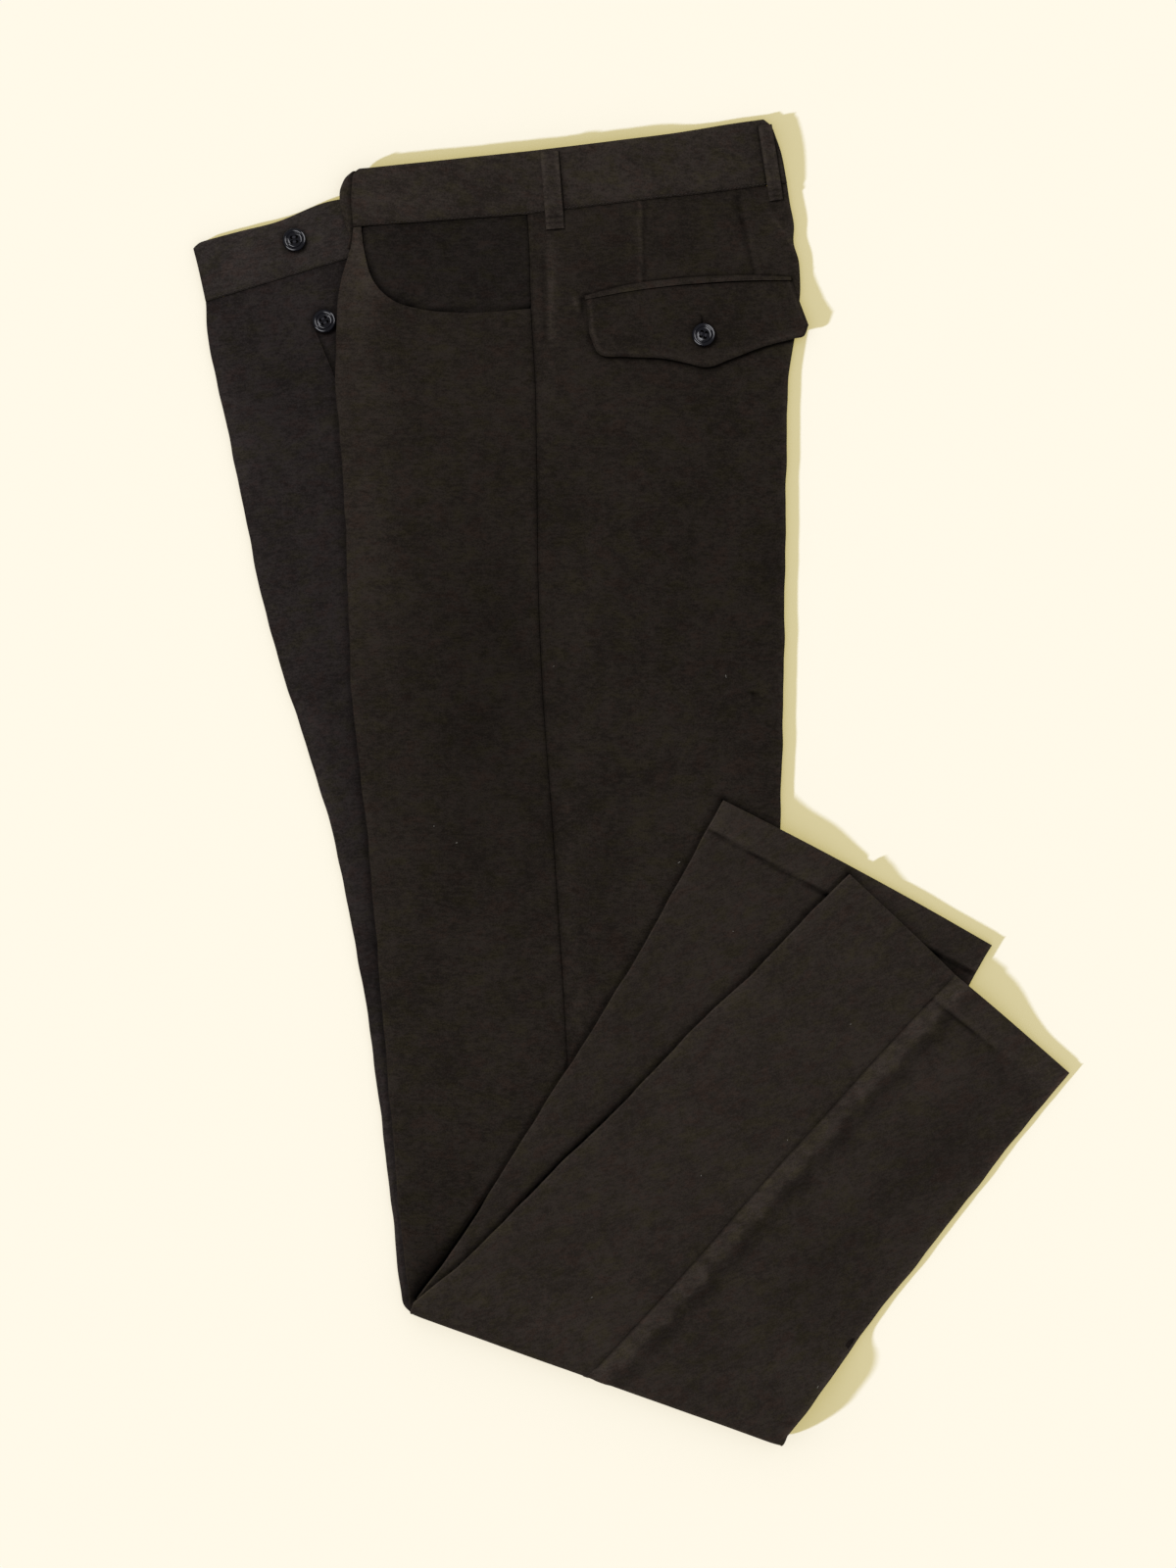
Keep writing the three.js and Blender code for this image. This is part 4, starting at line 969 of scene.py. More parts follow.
def upper_left_leg(welt):
    places = even_places(smooth_line(points(LEFT_UPPER, "seam")), CELL)
    rows = leg_rows(LEFT_UPPER, places)
    outer, inner = wall(rows, "front", left_upper_height, left_front_relief)
    cloth("left_front_cloth", outer, inner, upper_cloth, ["left_front"],
          keep=pocket_keep(outer), painted_light_and_tone_of=left_painted_light)
    outer, inner = wall(rows, "back", left_upper_height, left_back_relief)
    cloth("left_back_cloth", outer, inner, upper_cloth, ["left_back"],
          painted_light_and_tone_of=left_painted_light)


def tucked_under(rows, line, height, drop, overlap, seed, ridge=None, flush=None, face=None):
    """A sheet that shows beyond a cut edge, and runs on a little way under it. Where flush
    is 1 it closes over the edge, level with the face that the edge is cut in."""
    out = unit(rows["front"] - rows["seam"])
    start = rows["seam"] + out * SEAM_GAP / 2
    end = rows["front"] - out * LEG / 2
    count = round(np.linalg.norm(end - start, axis=1).max() / CELL)
    u = np.linspace(0, 1, count + 1)[None, :, None]
    plan = start[:, None] * (1 - u) + end[:, None] * u
    flat = plan.reshape(-1, 2)
    gap, side, _ = nearest_on(line, flat)
    signed = np.where(side > 0, gap, -gap)
    lift = 0.5 * swell(flat, seed, 40)
    if ridge is not None:
        lift += 0.3 * bell(nearest_on(ridge, flat)[0], 2.5)
    level = np.zeros(len(flat)) if flush is None else flush(flat)
    if face is not None:
        lift = lift * (1 - level) + face(flat) * level
    shown = ease((signed - 0.6 + 3.0 * level) / (5 - 3.8 * level))
    drop = drop * (1 - level) - 0.16 * level
    top = height(flat) - PLY - 0.1 + shown * (PLY - drop + lift)
    outer = np.concatenate([plan, top.reshape(plan.shape[:2])[..., None]], axis=2)
    return outer, outer - [0, 0, PLY - POCKET_RECESS], (signed + overlap).reshape(plan.shape[:2])


def mouth_shade(p):
    """The facing is dark under the pocket's rolled edge, most of all in the curve's bend."""
    gap, _, run = nearest_on(POCKET_LINE, p)
    width = 1.5 + 1.6 * bell(run - 48, 24)
    return -0.8 * bell(gap, width)


def pocket_facing():
    """The cloth that shows inside the curved front pocket."""
    rows = leg_rows(LEFT_UPPER, np.linspace(0, FACING_SHARE, FACING_ROWS))
    fold = np.array([[-169.5, 338.0], [-150.0, 352.0]])
    outer, inner, keep = tucked_under(rows, POCKET_LINE, left_upper_height, 0.75, 4, 9, fold)
    # Painted shade on the facing under the pocket's edge, the waist seam and along the side seam,
    # and a painted highlight along its fold.
    cloth("pocket_facing_cloth", outer, inner, facing_cloth, ["left_pocket_facing"],
          keep=keep,
          painted_light_and_tone_of=lambda q: mouth_shade(q) + painted_edge_shade(WAIST_FOOT, q, -0.4)
          + 0.2 * np.exp(-nearest_on(fold, q)[0] / 2.5) + painted_edge_shade(SIDE_SEAM, q, -0.5, 1.2))


# ---- Upper right leg ----


def left_fold_at(y):
    """x of the left leg's front fold at a height."""
    fold = np.vstack([points(LEFT_WAIST, "front")[::-1], points(LEFT_UPPER, "front")])[::-1]
    return np.interp(y, fold[:, 1], fold[:, 0])


def right_rows(count):
    places = np.linspace(0, 1, count)
    under = np.stack([0 * RIGHT_UPPER["underY"], RIGHT_UPPER["underY"]], 1)
    y = smooth_line(under)(places)[:, 1]
    rows = {
        "front": sampled(RIGHT_UPPER, "front", count),
        "seam": np.stack([left_fold_at(y) + LEG / 2 + TUCK, y], 1),
    }
    rows["turn"] = rows["tuck"] = np.zeros(count)
    return rows


def above_fly(p):
    """1 above the fly button, where the edges are sewn level, and 0 below it."""
    return ease((p[:, 1] - 280) / 14)


def right_front_relief(p):
    gap, _, _ = nearest_on(FLY_LINE, p)
    return (swell(p, 12) + creases(RIGHT_CREASES, p) + pressed_by(LEFT_FOLD, p)
            + groove(gap, 0.4, 1.2) * (1 - above_fly(p)))


# Painted light and shade on the right front: painted shade beside the left leg's fold and under
# the waistband, a painted shadow round the fly button, and patches of uneven tone with painted
# sheen along its own fold.
def right_painted_light(p):
    foot = points(RIGHT_WAIST, "seam")
    return (tone_and_shade_patches(RIGHT_PATCHES, p) + painted_edge_shade(LEFT_FOLD, p, -0.35, 2.6)
            + painted_edge_shade(foot, p, -0.4, 1.6) + painted_button_shadow("fly", p))


def upper_right_leg():
    rows = right_rows(RIGHT_ROWS)
    outer, inner = wall(rows, "front", right_upper_height, right_front_relief, from_seam=0)
    p = outer[..., :2].reshape(-1, 2)
    gap, side, _ = nearest_on(FLY_LINE, p)
    keep = np.where((side > 0) & (p[:, 1] > FLY_LINE[-1, 1]), -gap, gap + 1e-4)
    keep = keep.reshape(outer.shape[:2])
    cloth("right_front_cloth", outer, inner, right_cloth, ["right_front"],
          keep=keep, painted_light_and_tone_of=right_painted_light)
    shown = {key: value[:UNDERLAP_ROWS] for key, value in rows.items()}
    outer, inner, keep = tucked_under(shown, FLY_LINE, right_upper_height, 0.4, 4, 14,
                                      flush=above_fly, face=right_front_relief)
    # Painted shade along the fly's edge below the button.
    cloth("fly_underlap_cloth", outer, inner, right_cloth, ["fly_underlap"],
          keep=keep,
          painted_light_and_tone_of=lambda q: right_painted_light(q) + painted_edge_shade(FLY_LINE, q, -0.6, 1.6)
          * (1 - above_fly(q)))


# ---- Waistband ----


def band_relief(top_line, seam_line, seed):
    """A waistband's face: full in the middle, rolled at its top edge and tight at its seam."""
    def relief(p):
        top_gap, _, run = nearest_on(top_line, p)
        seam_gap, _, _ = nearest_on(seam_line, p)
        rolled = -0.9 * bell(top_gap, 0.9) - 0.6 * bell(seam_gap, 0.9)
        tight = groove(seam_gap - 2.6, 0.3, 0.9)
        return 0.7 * swell(p, seed, 50) + rolled + tight + 0.08 * waver(run, 23, seed)
    return relief


def waist_painted_light(top_line, seam_line, p):
    """Painted highlight along the rolled top edge, painted shade in the ditch of the seam,
    painted shadows beside the loops and round the button, and faint patches of uneven tone.
    """
    painted_light_and_tone = 0.1 * np.exp(-nearest_on(top_line, p)[0] / 3) + painted_edge_shade(seam_line, p, -0.35, 1.0)
    for loop, side in ((SIDE_LOOP, 1), (BACK_LOOP, -1)):
        top, foot = np.array(loop["top"]), np.array(loop["foot"])
        along = unit(foot - top)
        to_edge = np.array([-along[1], along[0]]) * loop["width"] / 2 * side
        painted_light_and_tone = painted_light_and_tone + painted_edge_shade(np.array([top, foot]) + to_edge, p, -0.65, 1.4)
    return painted_light_and_tone + 0.1 * tone_and_shade_patches(WAIST_PATCHES, p) + painted_button_shadow("waistband", p)


def rises_at(rises, x):
    return sum(height * bell(x - at, width) for height, at, width in rises)


def waistbands(loops):
    rows = leg_rows(LEFT_WAIST, np.linspace(0, 1, WAIST_ROWS))
    relief = band_relief(WAIST_TOP, WAIST_FOOT, 21)
    faces = {}
    for side in ("front", "back"):
        faces[side] = wall(rows, side, left_upper_height, relief, raised=WAIST_RAISE,
                           thick=WAIST_PLY, from_seam=0)
    outer = joined_grid(faces["front"][0], faces["back"][0])
    inner = joined_grid(faces["front"][1], faces["back"][1])
    for grid in (outer, inner):
        rise = rises_at(LEFT_WAIST_RISES, grid[..., 0])
        grid[..., 1] += rise * np.linspace(0, 1, len(grid))[:, None]
    cloth("left_waistband_cloth", outer, inner, waist_cloth, ["left_waistband"],
          painted_light_and_tone_of=lambda q: waist_painted_light(WAIST_TOP, WAIST_FOOT, q))
    places = np.linspace(0, 1, RIGHT_WAIST_ROWS)[:, None]
    top, foot = points(RIGHT_WAIST, "top"), points(RIGHT_WAIST, "seam")
    rows = {
        "front": foot[0] * (1 - places) + top[0] * places,
        "seam": foot[-1] * (1 - places) + top[-1] * places,
        "turn": np.zeros(RIGHT_WAIST_ROWS),
        "tuck": np.zeros(RIGHT_WAIST_ROWS),
    }
    outer, inner = wall(rows, "front", right_upper_height, band_relief(top, foot, 25),
                        raised=WAIST_RAISE, thick=WAIST_PLY, from_seam=0)
    for grid in (outer, inner):
        grid[..., 1] += rises_at(RIGHT_WAIST_RISES, grid[..., 0]) * places
    cloth("right_waistband_cloth", outer, inner, right_waist_cloth, ["right_waistband"],
          painted_light_and_tone_of=lambda q: waist_painted_light(top, foot, q))


# ---- Lower legs ----


def hem_relief(gap, run, depth, seed, fades_at=400):
    """The turned-up hem: a thicker band with a soft uneven line at its upper end."""
    line = groove(gap - depth * (1 + 0.05 * waver(run, 60, seed)), 0.5, 1.5)
    line = line * (1 - 0.7 * ease((run - fades_at) / 40))
    turned_edge = -0.8 * bell(gap, 1.1)
    return 0.5 * (1 - ease((gap - depth + 1.5) / 3)) + line + turned_edge


def left_lower_relief(p):
    gap, _, run = nearest_on(LEFT_HEM, p)
    hem = hem_relief(gap, run, LEFT_HEM_DEPTH, 32)
    return (swell(p, 31) + creases(LEFT_LOWER_CREASES, p) + hem
            + pressed_by(RIGHT_LOWER_EDGE, p) + pressed_by(RIGHT_HEM, p))


def band_creases(gap, run):
    """Short creases across the band beside the seam, unevenly spaced."""
    total = np.zeros(len(gap))
    for at, lean, size in ((38, 0.5, 1.0), (57, -0.3, 0.5), (92, 0.6, 0.7), (128, 0.2, 0.6),
                           (151, 0.7, 0.9), (190, -0.2, 0.5), (223, 0.5, 0.8), (271, 0.4, 0.5)):
        total += size * bell(run - at - lean * gap, 1.8)
    return total


def right_lower_relief(back):
    def relief(p):
        hem_gap, _, hem_run = nearest_on(RIGHT_HEM, p)
        gap, _, run = nearest_on(RIGHT_SIDE_SEAM, p)
        seam = groove(gap, 0.8, 1.1)
        if back:
            band = allowance(gap, run, 13.0, 1.0, 41, lumps=0.5)
            seam = seam + band * (1 - 0.5 * band_creases(gap, run))
        base = swell(p, 42) + creases(RIGHT_LOWER_CREASES, p)
        hem = hem_relief(hem_gap, hem_run, RIGHT_HEM_DEPTH, 43, RIGHT_HEM_FADE)
        return base + seam + hem
    return relief


def hem_painted_light(hem, depth, p, fades_at=400):
    """The turned-up hem is a little paler, with a painted highlight on the ridge at its upper end
    and painted shade just above it, fainter further above.
    """
    gap, _, run = nearest_on(hem, p)
    shows = 1 - 0.8 * ease((run - fades_at) / 40)
    band = 0.12 * (1 - ease((gap - depth + 1) / 2))
    line = bell(gap - depth - 1.2, 1.6) * (1 + 0.5 * waver(run, 38, 5))
    ridge = 0.2 * bell(gap - depth + 1.6, 1.6)
    above = 0.1 * bell(gap - depth - 7, 7)
    return band + (ridge - 0.5 * line) * shows - above


# Painted light and shade on the lower left leg: painted sheen along its folds, painted shade
# beside the lower right leg's edge, in the hollow under it and beside its hem, the hem's painted
# light, patches of uneven tone with painted shade beside the hem, and 0.12 darker overall.
def left_lower_painted_light(p):
    gap, _, run = nearest_on(RIGHT_LOWER_EDGE, p)
    hollow = bell(gap, 3.2) * bell(run - 130, 60)
    rim = painted_fold_sheen(LEFT_LOWER_EDGE, p, 0.6, 1.6) + painted_fold_sheen(BACK_FOLDS[1], p, 0.6)
    hem = hem_painted_light(LEFT_HEM, LEFT_HEM_DEPTH, p)
    return (tone_and_shade_patches(LEFT_LOWER_PATCHES, p) - 0.12 + hem + rim
            - 0.7 * np.exp(-gap / 1.4) - 0.5 * hollow + painted_edge_shade(RIGHT_HEM, p, -0.55, 2.6))


# Painted light and shade on the lower right leg: painted sheen along its folds and round the
# knee, and on the back a painted highlight on the lumpy band beside the seam, painted shade
# beyond it, a dark line on the seam and the hem's painted light; the patches add uneven tone and
# painted sheen.
def right_lower_painted_light(back):
    def painted_light_and_tone(p):
        gap, _, run = nearest_on(RIGHT_SIDE_SEAM, p)
        total = (tone_and_shade_patches(RIGHT_LOWER_PATCHES, p)
                 + painted_fold_sheen(RIGHT_LOWER_EDGE, p, 0.6, 1.6) + painted_fold_sheen(BACK_FOLDS[2], p, 0.8)
                 + painted_fold_sheen(np.array(knee_nose), p, 0.9, 3.0))
        if not back:
            return total
        edge = 13 * (1 + 0.2 * waver(run, 31, 41))
        lumps = 0.42 * (1 + 0.4 * waver(run, 17, 42)) - 0.4 * band_creases(gap, run)
        band = lumps * ease(gap / 2) * (1 - ease((gap - edge + 2.5) / 4))
        beyond = -0.28 * bell(gap - edge - 5, 5) * (1 + 0.6 * waver(run, 43, 3))
        line = -0.5 * np.exp(-gap / 0.9)
        hem = hem_painted_light(RIGHT_HEM, RIGHT_HEM_DEPTH, p, RIGHT_HEM_FADE)
        return total + band + beyond + line + hem
    return painted_light_and_tone


def lower_legs():
    places = even_places(smooth_line(points(LEFT_LOWER, "seam")), CELL)
    rows = leg_rows(LEFT_LOWER, places)
    for side in ("front", "back"):
        outer, inner = wall(rows, side, left_lower_height, left_lower_relief,
                            from_seam=CLOSED_SEAM)
        bowed((outer, inner), LEFT_HEM[[0, 2]], HEM_OUT, HEM_BOW)
        cloth(f"left_lower_{side}_cloth", outer, inner, lower_cloth, [f"left_lower_{side}"],
              painted_light_and_tone_of=left_lower_painted_light)
    places = even_places(smooth_line(points(RIGHT_LOWER, "seam")), CELL)
    rows = with_knee(leg_rows(RIGHT_LOWER, places))
    for side in ("front", "back"):
        relief = right_lower_relief(side == "back")
        outer, inner = wall(rows, side, right_lower_height, relief, from_seam=CLOSED_SEAM)
        bowed((outer, inner), RIGHT_HEM[[0, 2]], HEM_OUT, HEM_BOW)
        cloth(f"right_lower_{side}_cloth", outer, inner, lower_cloth, [f"right_lower_{side}"],
              painted_light_and_tone_of=right_lower_painted_light(side == "back"))


# ---- Small pieces on the panels ----


def patch(name, rows, first, second, across, count, stand_off, relief, painted_light_and_tone_of, nodes):
    """A piece that lies on the upper left leg, between two of a table's edges. Its second
    edge stands off by a little."""
    a, b = sampled(rows, first, count), sampled(rows, second, count)
    u = np.linspace(0, 1, across)[None, :, None]
    plan = a[:, None] * (1 - u) + b[:, None] * u
    flat = plan.reshape(-1, 2)
    shape = plan.shape[:2]
    low = left_upper_height(flat).reshape(shape) + SEAM_GAP + stand_off * u[..., 0] ** 2
    high = low + POCKET_PLY + relief(flat).reshape(shape)
    outer = np.concatenate([plan, high[..., None]], axis=2)
    inner = np.concatenate([plan, low[..., None]], axis=2)
    return cloth(name, outer, inner, upper_cloth, nodes, painted_light_and_tone_of=painted_light_and_tone_of)


def flap_edge_gap(p):
    """Distance from the flap's free edges."""
    bottom = sampled(FLAP, "bottom", 50)
    sides = [np.array([points(FLAP, "top")[end], points(FLAP, "bottom")[end]]) for end in (0, -1)]
    return np.minimum.reduce([nearest_on(line, p)[0] for line in (bottom, *sides)])


BUTTONHOLE = np.array([[44.2, 296.0], [44.8, 288.5]])


def flap_relief(p):
    gap = flap_edge_gap(p)
    hole, _, _ = nearest_on(BUTTONHOLE, p)
    rolled = -0.9 * bell(gap, 1.1) + 0.35 * bell(gap - 3.5, 2.0)
    return rolled + 0.5 * swell(p, 51, 30) - 0.5 * bell(hole, 0.8)


# Painted light on the flap: a painted highlight along its rolled edges, painted shade along its
# top seam and in the buttonhole, and a painted shadow round the button.
def flap_painted_light(p):
    hole, _, _ = nearest_on(BUTTONHOLE, p)
    rim = 0.45 * bell(flap_edge_gap(p) - 2.2, 1.3)
    top = painted_edge_shade(sampled(FLAP, "top"), p, -0.4, 1.0)
    return rim + top + painted_button_shadow("flap", p) - 0.7 * np.exp(-hole / 0.7)


def welt_relief(p):
    gap, _, run = nearest_on(WELT_TOP, p)
    return -0.5 * bell(gap, 0.7) + 0.1 * waver(run, 19, 5)


def pocket_welt():
    # The welt's face is paler, with painted shade along its top edge.
    return patch("pocket_welt_cloth", WELT, "top", "bottom", 6, 70, 0, welt_relief,
                 lambda q: 0.32 + painted_edge_shade(WELT_TOP, q, -0.5, 0.8), ["back_pocket_welt"])


def pocket_flap():
    return patch("pocket_flap_cloth", FLAP, "top", "bottom", 34, 110, 1.1, flap_relief, flap_painted_light,
                 ["back_pocket_flap"])


def flat_loop(name, loop, nodes):
    """A belt loop on the waistband, full in its middle and sewn down at both ends."""
    top, foot = np.array(loop["top"]), np.array(loop["foot"])
    t = np.linspace(0, 1, 40)
    k = np.linspace(-1, 1, 11)
    way = unit(foot - top)
    across = np.array([-way[1], way[0]])
    plan = (top + t[:, None, None] * (foot - top)) + k[None, :, None] * across * loop["width"] / 2
    flat = plan.reshape(-1, 2)
    shape = plan.shape[:2]
    down = np.clip((t - LOOP_SEAM) / (1 - LOOP_SEAM), 0, 1)
    bulge = 0.8 * np.sin(np.pi * np.clip(t / LOOP_SEAM, 0, 1))
    lift = (WAIST_RAISE + SEAM_GAP - WAIST_RAISE * down + bulge)[:, None]
    low = left_upper_height(flat).reshape(shape) + lift
    run = t[:, None] * np.linalg.norm(foot - top)
    tacks = np.exp(-((run - 1.6) ** 2)) + bell(run - run[-1] + 3, 1.1)
    off = np.abs(k)[None, :]
    edge = 0.55 * off**8 + 0.22 * bell(off - 0.6, 0.12)
    high = low + LOOP_PLY - edge - 0.35 * tacks
    outer = np.concatenate([plan, high[..., None]], axis=2)
    inner = np.concatenate([plan, low[..., None]], axis=2)
    middle = np.array([top, foot])

    # Painted highlights along the loop's rolled sides and painted shade at its tacks, over a
    # slightly paler tone.
    def painted_light_and_tone_of(p):
        off, _, run = nearest_on(middle, p)
        sides = 0.35 * bell(off - loop["width"] / 2 + 1.2, 1.1)
        tacks = bell(run - 45.5, 0.8) + bell(run - 41.5, 0.8)
        return 0.08 + sides - 0.45 * tacks

    return cloth(name, outer, inner, waist_cloth, nodes, painted_light_and_tone_of=painted_light_and_tone_of)


def front_loop():
    """The belt loop that stands off the waistband's front fold, so that its edge shows."""
    edge = sampled(FRONT_LOOP, "", 44)
    y = edge[:, 1]
    base = np.stack([left_fold_at(y) + LEG / 2, y], 1)
    level = left_upper_height(base) - LEG / 2 + WAIST_RAISE / 2
    reach = np.maximum(base[:, 0] - edge[:, 0], (LEG + WAIST_RAISE) / 2 + SEAM_GAP + 0.6)
    angles = np.radians(np.linspace(38, 150, 17))

    def ring(inward):
        r = reach[:, None] - inward
        x = base[:, :1] - r * np.sin(angles)
        z = level[:, None] + (2.9 - 0.8 * inward) * np.cos(angles)
        hollow = np.stack([base[:, 0] - 0.4, level - 0.4 - 0.8 * inward], 1)[:, None]
        x = np.concatenate([hollow[..., 0], x], axis=1)
        z = np.concatenate([hollow[..., 1], z], axis=1)
        return np.stack([x, np.repeat(y[:, None], x.shape[1], 1), z], axis=2)

    # Painted shade over the loop's inner side, away from its outer edge.
    return cloth("front_loop_cloth", ring(0.0), ring(1.3), waist_cloth,
                 ["belt_loop_front"],
                 painted_light_and_tone_of=lambda q: -0.7 * ease((nearest_on(edge, q)[0] - 3.2) / 1.6))


# ---- Buttons ----


def only(thing):
    bpy.ops.object.select_all(action="DESELECT")
    thing.select_set(True)
    bpy.context.view_layer.objects.active = thing


def top_face_inset(by, lift):
    """Insets the selected top face and moves it up or down."""
    bpy.ops.mesh.inset(thickness=by * MM, depth=0)
    bpy.ops.transform.translate(value=(0, 0, lift * MM))


def drill(button, angle):
    only(button)
    place = (math.cos(angle) * HOLE_SPREAD * MM, math.sin(angle) * HOLE_SPREAD * MM, 0)
    bpy.ops.mesh.primitive_cylinder_add(
        vertices=20, radius=BUTTON_HOLE * MM, depth=4 * BUTTON_THICK * MM,
        location=tuple(a + b for a, b in zip(button.location, place)))
    pin = bpy.context.object
    only(button)
    cut = button.modifiers.new("hole", "BOOLEAN")
    cut.operation = "DIFFERENCE"
    cut.object = pin
    cut.solver = "EXACT"
    bpy.ops.object.modifier_apply(modifier=cut.name)
    bpy.data.objects.remove(pin, do_unlink=True)


def button(name, spot, level, turn, nodes):
    """A four-hole button with a raised rim and a shallow dish, turned on a lathe."""
    x, y = np.array(spot) - CENTRE
    bpy.ops.object.select_all(action="DESELECT")
    wall_high = BUTTON_THICK - BUTTON_RIM
    bpy.ops.mesh.primitive_cylinder_add(
        vertices=72, radius=BUTTON_RADIUS * MM, depth=wall_high * MM,
        location=(x * MM, y * MM, (level + wall_high / 2) * MM))
    made = bpy.context.object
    made.name = made.data.name = name
    bpy.ops.object.mode_set(mode="EDIT")
    bpy.ops.mesh.select_all(action="DESELECT")
    bpy.ops.object.mode_set(mode="OBJECT")
    for face in made.data.polygons:
        face.select = face.normal.z > 0.9
    bpy.ops.object.mode_set(mode="EDIT")
    bpy.ops.mesh.select_mode(type="FACE")
    for by, lift in BUTTON_PROFILE:
        top_face_inset(by, lift)
    bpy.ops.object.mode_set(mode="OBJECT")
    soft = made.modifiers.new("rounding", "BEVEL")
    soft.width = BUTTON_BEVEL * MM
    soft.segments = 2
    soft.limit_method = "ANGLE"
    soft.angle_limit = math.radians(25)
    only(made)
    bpy.ops.object.modifier_apply(modifier=soft.name)
    for quarter in range(4):
        drill(made, turn + math.pi / 4 + quarter * math.pi / 2)
    only(made)
    bpy.ops.object.transform_apply(location=True, rotation=True, scale=True)
    made.data.materials.clear()
    made.data.materials.append(horn)
    bpy.ops.object.shade_smooth_by_angle(angle=math.radians(35))
    worn(made, *nodes, slot="button")
    button_thread(name + "_thread", np.array(spot), level + BUTTON_THICK - THREAD_SINK, turn)


def button_thread(name, spot, level, turn):
    """Four-hole stitching: two parallel bars of thread between the holes."""
    bars = []
    for side in (-1, 1):
        for strand in (-0.35, 0, 0.35):
            a, b = (HOLE_SPREAD * math.sqrt(0.5) * v for v in (-1, 1))
            off = side * HOLE_SPREAD * math.sqrt(0.5) + strand
            ends = [np.array([a, off]), np.array([b, off])]
            spun = [spot + [e[0] * math.cos(turn) - e[1] * math.sin(turn),
                            e[0] * math.sin(turn) + e[1] * math.cos(turn)] for e in ends]
            bars.append((spun, level))
    verts, faces = [], []
    for (a, b), z in bars:
        add_stitch(verts, faces, a, b, z, z, 0.28, 0.22)
    worn(built(name, verts, faces, button_yarn, crisp=0))


# ---- Stitching and lint ----


def add_stitch(verts, faces, a, b, za, zb, half_width, rise):
    """One stitch from a to b: a spindle with a square section."""
    way = unit(b - a)
    across = np.array([-way[1], way[0]]) * half_width
    first = len(verts)
    verts.append([*a, za - 0.15])
    for t in (0.2, 0.8):
        p = a * (1 - t) + b * t
        z = za * (1 - t) + zb * t
        verts.append([*(p + across), z])
        verts.append([*p, z + rise])
        verts.append([*(p - across), z])
        verts.append([*p, z - rise])
    verts.append([*b, zb - 0.15])
    for k in range(4):
        n = (k + 1) % 4
        faces.append([first, first + 1 + n, first + 1 + k])
        faces.append([first + 1 + k, first + 1 + n, first + 5 + n])
        faces.append([first + 1 + k, first + 5 + n, first + 5 + k])
        faces.append([first + 5 + k, first + 5 + n, first + 9])


def stitched(name, lines, level, pitch=2.4, length=1.7, half_width=0.24, lift=0.08):
    """Rows of stitches along lines, on the face that level gives."""
    verts, faces = [], []
    for line in lines:
        line = np.array(line, float)
        run = np.concatenate([[0], np.cumsum(np.linalg.norm(np.diff(line, axis=0), axis=1))])
        starts = np.arange(0.5, run[-1] - length, pitch)
        ends = [np.stack([np.interp(s, run, line[:, 0]), np.interp(s, run, line[:, 1])], 1)
                for s in (starts, starts + length)]
        za, zb = level(ends[0]) + lift, level(ends[1]) + lift
        for a, b, u, v in zip(ends[0], ends[1], za, zb):
            add_stitch(verts, faces, a, b, u, v, half_width, 0.16)
    return worn(built(name, verts, faces, thread, crisp=0))


def beside(line, d):
    """A line moved sideways, to its left when d is positive."""
    way = unit(np.gradient(np.array(line, float), axis=0))
    return line + np.stack([-way[:, 1], way[:, 0]], 1) * d


def dense(line, count=120):
    run = np.concatenate([[0], np.cumsum(np.linalg.norm(np.diff(line, axis=0), axis=1))])
    s = np.linspace(0, run[-1], count)
    return np.stack([np.interp(s, run, line[:, 0]), np.interp(s, run, line[:, 1])], 1)


def stitching():
    """Stitches in the ditch of both waist seams."""
    band = band_relief(WAIST_TOP, WAIST_FOOT, 21)
    stitched("waist_seam_stitches", [beside(dense(WAIST_FOOT), 1.0)[4:-4]],
             lambda p: left_upper_height(p) + WAIST_RAISE + band(p))
    right_top, right_foot = points(RIGHT_WAIST, "top"), points(RIGHT_WAIST, "seam")
    right_band = band_relief(right_top, right_foot, 25)
    stitched("right_waist_stitches", [beside(dense(right_foot), 1.0)[4:-2]],
             lambda p: LEG + WAIST_RAISE + right_band(p))


# Stray fibres on the nap: place, length and turn in degrees.
FIBRES = table("x y length turn", [
    [-110.8, -37.5, 1.6, 20], [-125.1, -27.0, 1.2, 70], [29.9, -49.9, 2.2, 35],
    [64.0, -93.3, 1.0, 0], [59.7, 67.9, 2.4, 100], [-49.4, 74.1, 1.0, 45],
    [138.4, -152.2, 1.4, 15], [43.6, -247.1, 1.3, 60], [-25.3, -323.9, 1.6, 10],
    [98.1, -225.0, 1.2, 80], [117.3, -381.0, 2.4, 65],
])


def fibres():
    """A few pale fibres that lie on the trousers."""
    verts, faces = [], []
    for x, y, length, turn in zip(*FIBRES.values()):
        p = np.array([[x, y]])
        levels = [left_upper_height(p)]
        for outline, height in ((LEFT_LOWER_OUTLINE, left_lower_height),
                                (RIGHT_LOWER_OUTLINE, right_lower_height)):
            if inside(outline, p)[0]:
                levels.append(height(p))
        z = float(max(levels)[0]) + 0.25
        half = np.array([math.cos(math.radians(turn)), math.sin(math.radians(turn))]) * length / 2
        add_stitch(verts, faces, p[0] - half, p[0] + half, z, z, 0.16, 0.16)
    worn(built("stray_fibres", verts, faces, lint, crisp=0))


# ---- Hidden layers, floor, light and camera ----


def hidden_layers():
    inner_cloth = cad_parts["folded_layers"]
    inner_cloth.data.materials.clear()
    inner_cloth.data.materials.append(hidden_cloth)


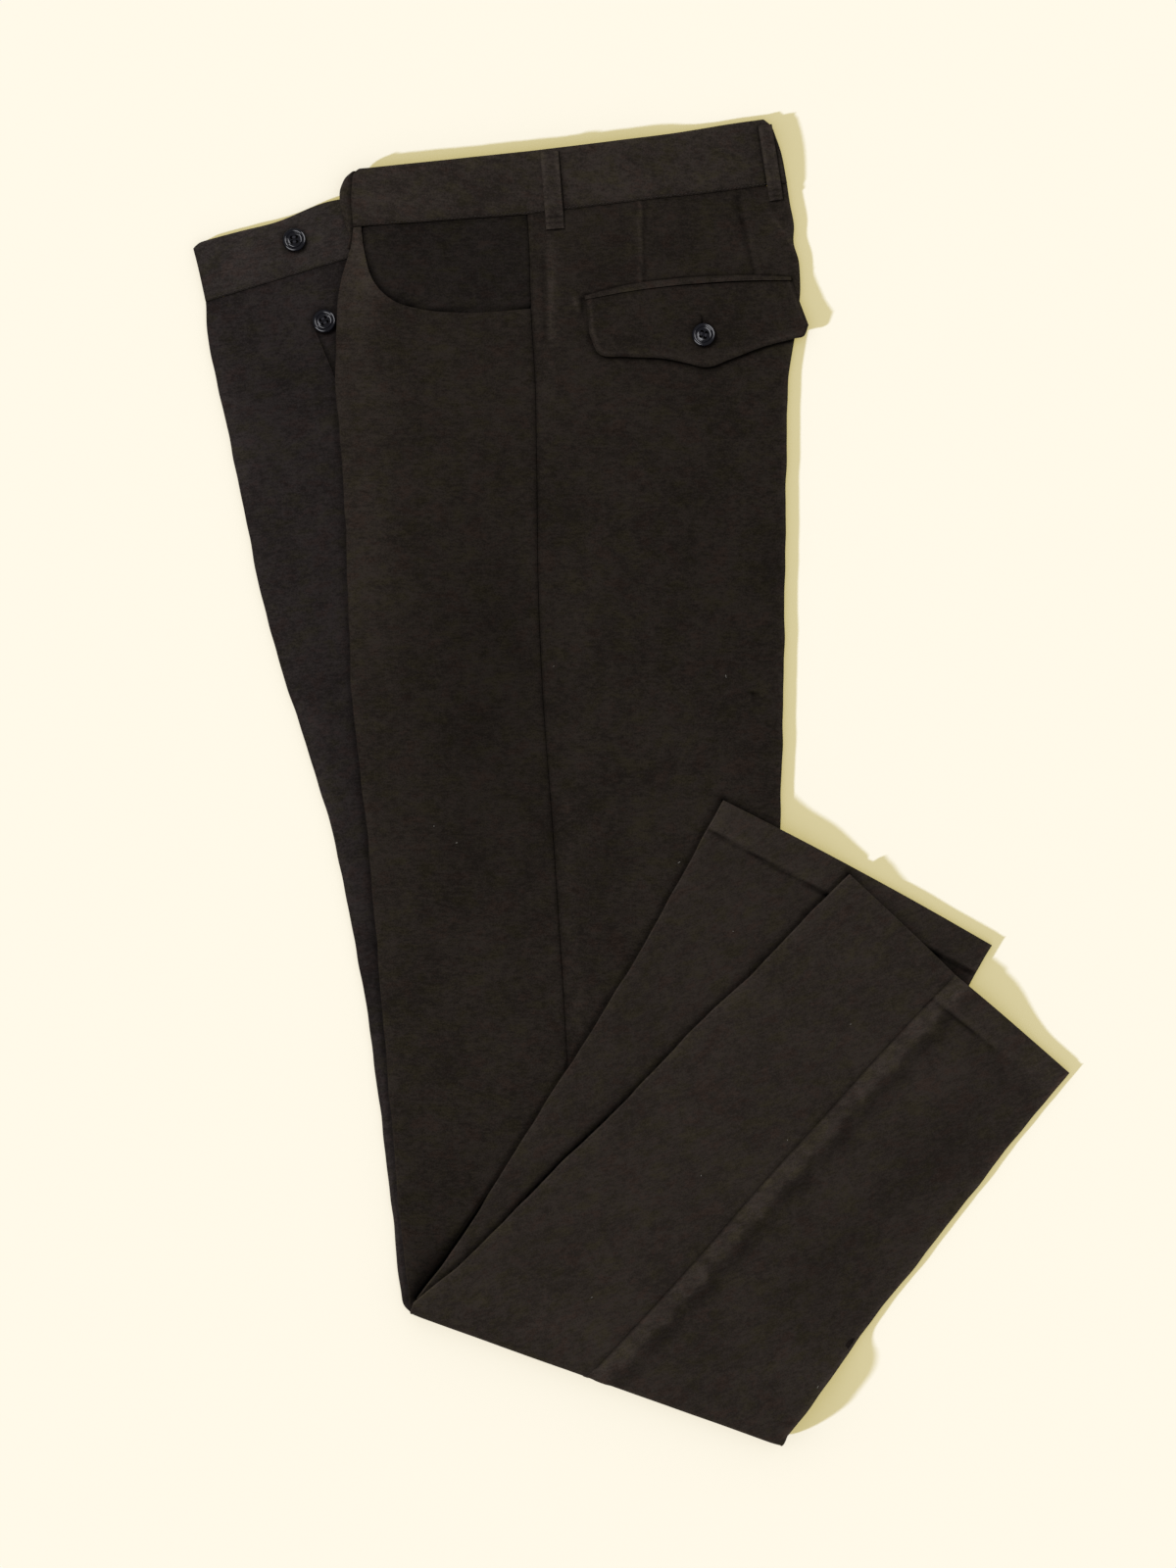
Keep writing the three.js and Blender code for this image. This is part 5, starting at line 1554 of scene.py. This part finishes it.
def pale_table():
    """A plain cream table top, a little warmer in the garment's shadow."""
    bpy.ops.object.select_all(action="DESELECT")
    bpy.ops.mesh.primitive_plane_add(size=12, location=(0, 0, -TABLE_DROP * MM))
    floor = bpy.context.object
    floor.name = "floor"
    paper = bpy.data.materials.new("pale_table")
    paper.use_nodes = True
    shader = paper.node_tree.nodes["Principled BSDF"]
    shader.inputs["Base Color"].default_value = (0.9, 0.9, 0.9, 1)
    shader.inputs["Roughness"].default_value = 1.0
    shader.inputs["Specular IOR Level"].default_value = 0.0
    shader.inputs["Emission Color"].default_value = (0.37, 0.295, 0.04, 1)
    shader.inputs["Emission Strength"].default_value = 1.0
    floor.data.materials.append(paper)
    return floor


def lights_only(light, things, name):
    """Lets a light fall on these things alone."""
    lit = bpy.data.collections.new(name)
    for thing in things:
        lit.objects.link(thing)
    light.light_linking.receiver_collection = lit


def studio():
    """A soft light from above the waist models the cloth, and a low one lights the table."""
    garment = [o for o in bpy.context.scene.objects if o.type == "MESH"]
    floor = pale_table()
    world = bpy.data.worlds.new("studio")
    bpy.context.scene.world = world
    world.use_nodes = True
    sky = world.node_tree.nodes["Background"]
    sky.inputs["Color"].default_value = (1.0, 0.99, 0.97, 1)
    sky.inputs["Strength"].default_value = 0.36
    buttons = [o for o in garment if o.name.endswith("button_made")]
    cloths = [o for o in garment if o not in buttons]
    for name, place, power in (("key", (-0.8, 1.15, 1.5), 30), ("fill", (0.9, -1.0, 1.3), 5.5)):
        soft = lamp(name, "AREA", place, power, (1.0, 0.98, 0.96))
        soft.data.size = 0.8
        lights_only(soft, cloths, "lit_by_" + name)
    for name, place in (("gleam_right", (0.85, 0.8, 1.0)), ("gleam_left", (-0.85, -0.8, 1.0))):
        gleam = lamp(name, "AREA", place, 44, (0.97, 0.97, 1.0))
        gleam.data.size = 1.3
        lights_only(gleam, buttons, "lit_by_" + name)
    low = lamp("table_light", "SUN", (-1.9, -1.0, 0.71), 5.13, (0.68, 0.73, 1.0))
    low.data.angle = math.radians(3)
    lights_only(low, [floor], "lit_by_table_light")


def lamp(name, kind, place, power, colour):
    light = bpy.data.lights.new(name, kind)
    light.energy = power
    light.color = colour
    lit = bpy.data.objects.new(name, light)
    lit.location = place
    lit.rotation_euler = (-lit.location).to_track_quat("-Z", "Y").to_euler()
    bpy.context.scene.collection.objects.link(lit)
    return lit


def camera():
    width, middle, lens, sensor = 0.744, (-0.0276, 0.0004), 85.0, 36.0
    high = width * 4 / 3
    view = bpy.data.cameras.new("camera")
    view.lens = lens
    view.sensor_width = sensor
    eye = bpy.data.objects.new("camera", view)
    eye.location = (*middle, high * lens / sensor + 0.008)
    bpy.context.scene.collection.objects.link(eye)
    bpy.context.scene.camera = eye


# ---- Making ----

camera()
upper_left_leg(pocket_welt())
pocket_facing()
upper_right_leg()
waistbands([
    front_loop(),
    flat_loop("side_loop_cloth", SIDE_LOOP, ["belt_loop_side"]),
    flat_loop("back_loop_cloth", BACK_LOOP, ["belt_loop_back"]),
])
lower_legs()
pocket_flap()
flap_level = float(left_upper_height(np.array([BUTTONS["flap"]]))[0]) + POCKET_PLY + 3 * SEAM_GAP
button("waistband_button_made", BUTTONS["waistband"], LEG + WAIST_RAISE + SEAM_GAP, 0.1,
       ["waistband_button"])
button("fly_button_made", BUTTONS["fly"], LEG + SEAM_GAP, 0.5, ["fly_button"])
button("flap_button_made", BUTTONS["flap"], flap_level, 1.3, ["flap_button"])
stitching()
fibres()
hidden_layers()
studio()
bpy.context.scene.view_settings.view_transform = "Standard"
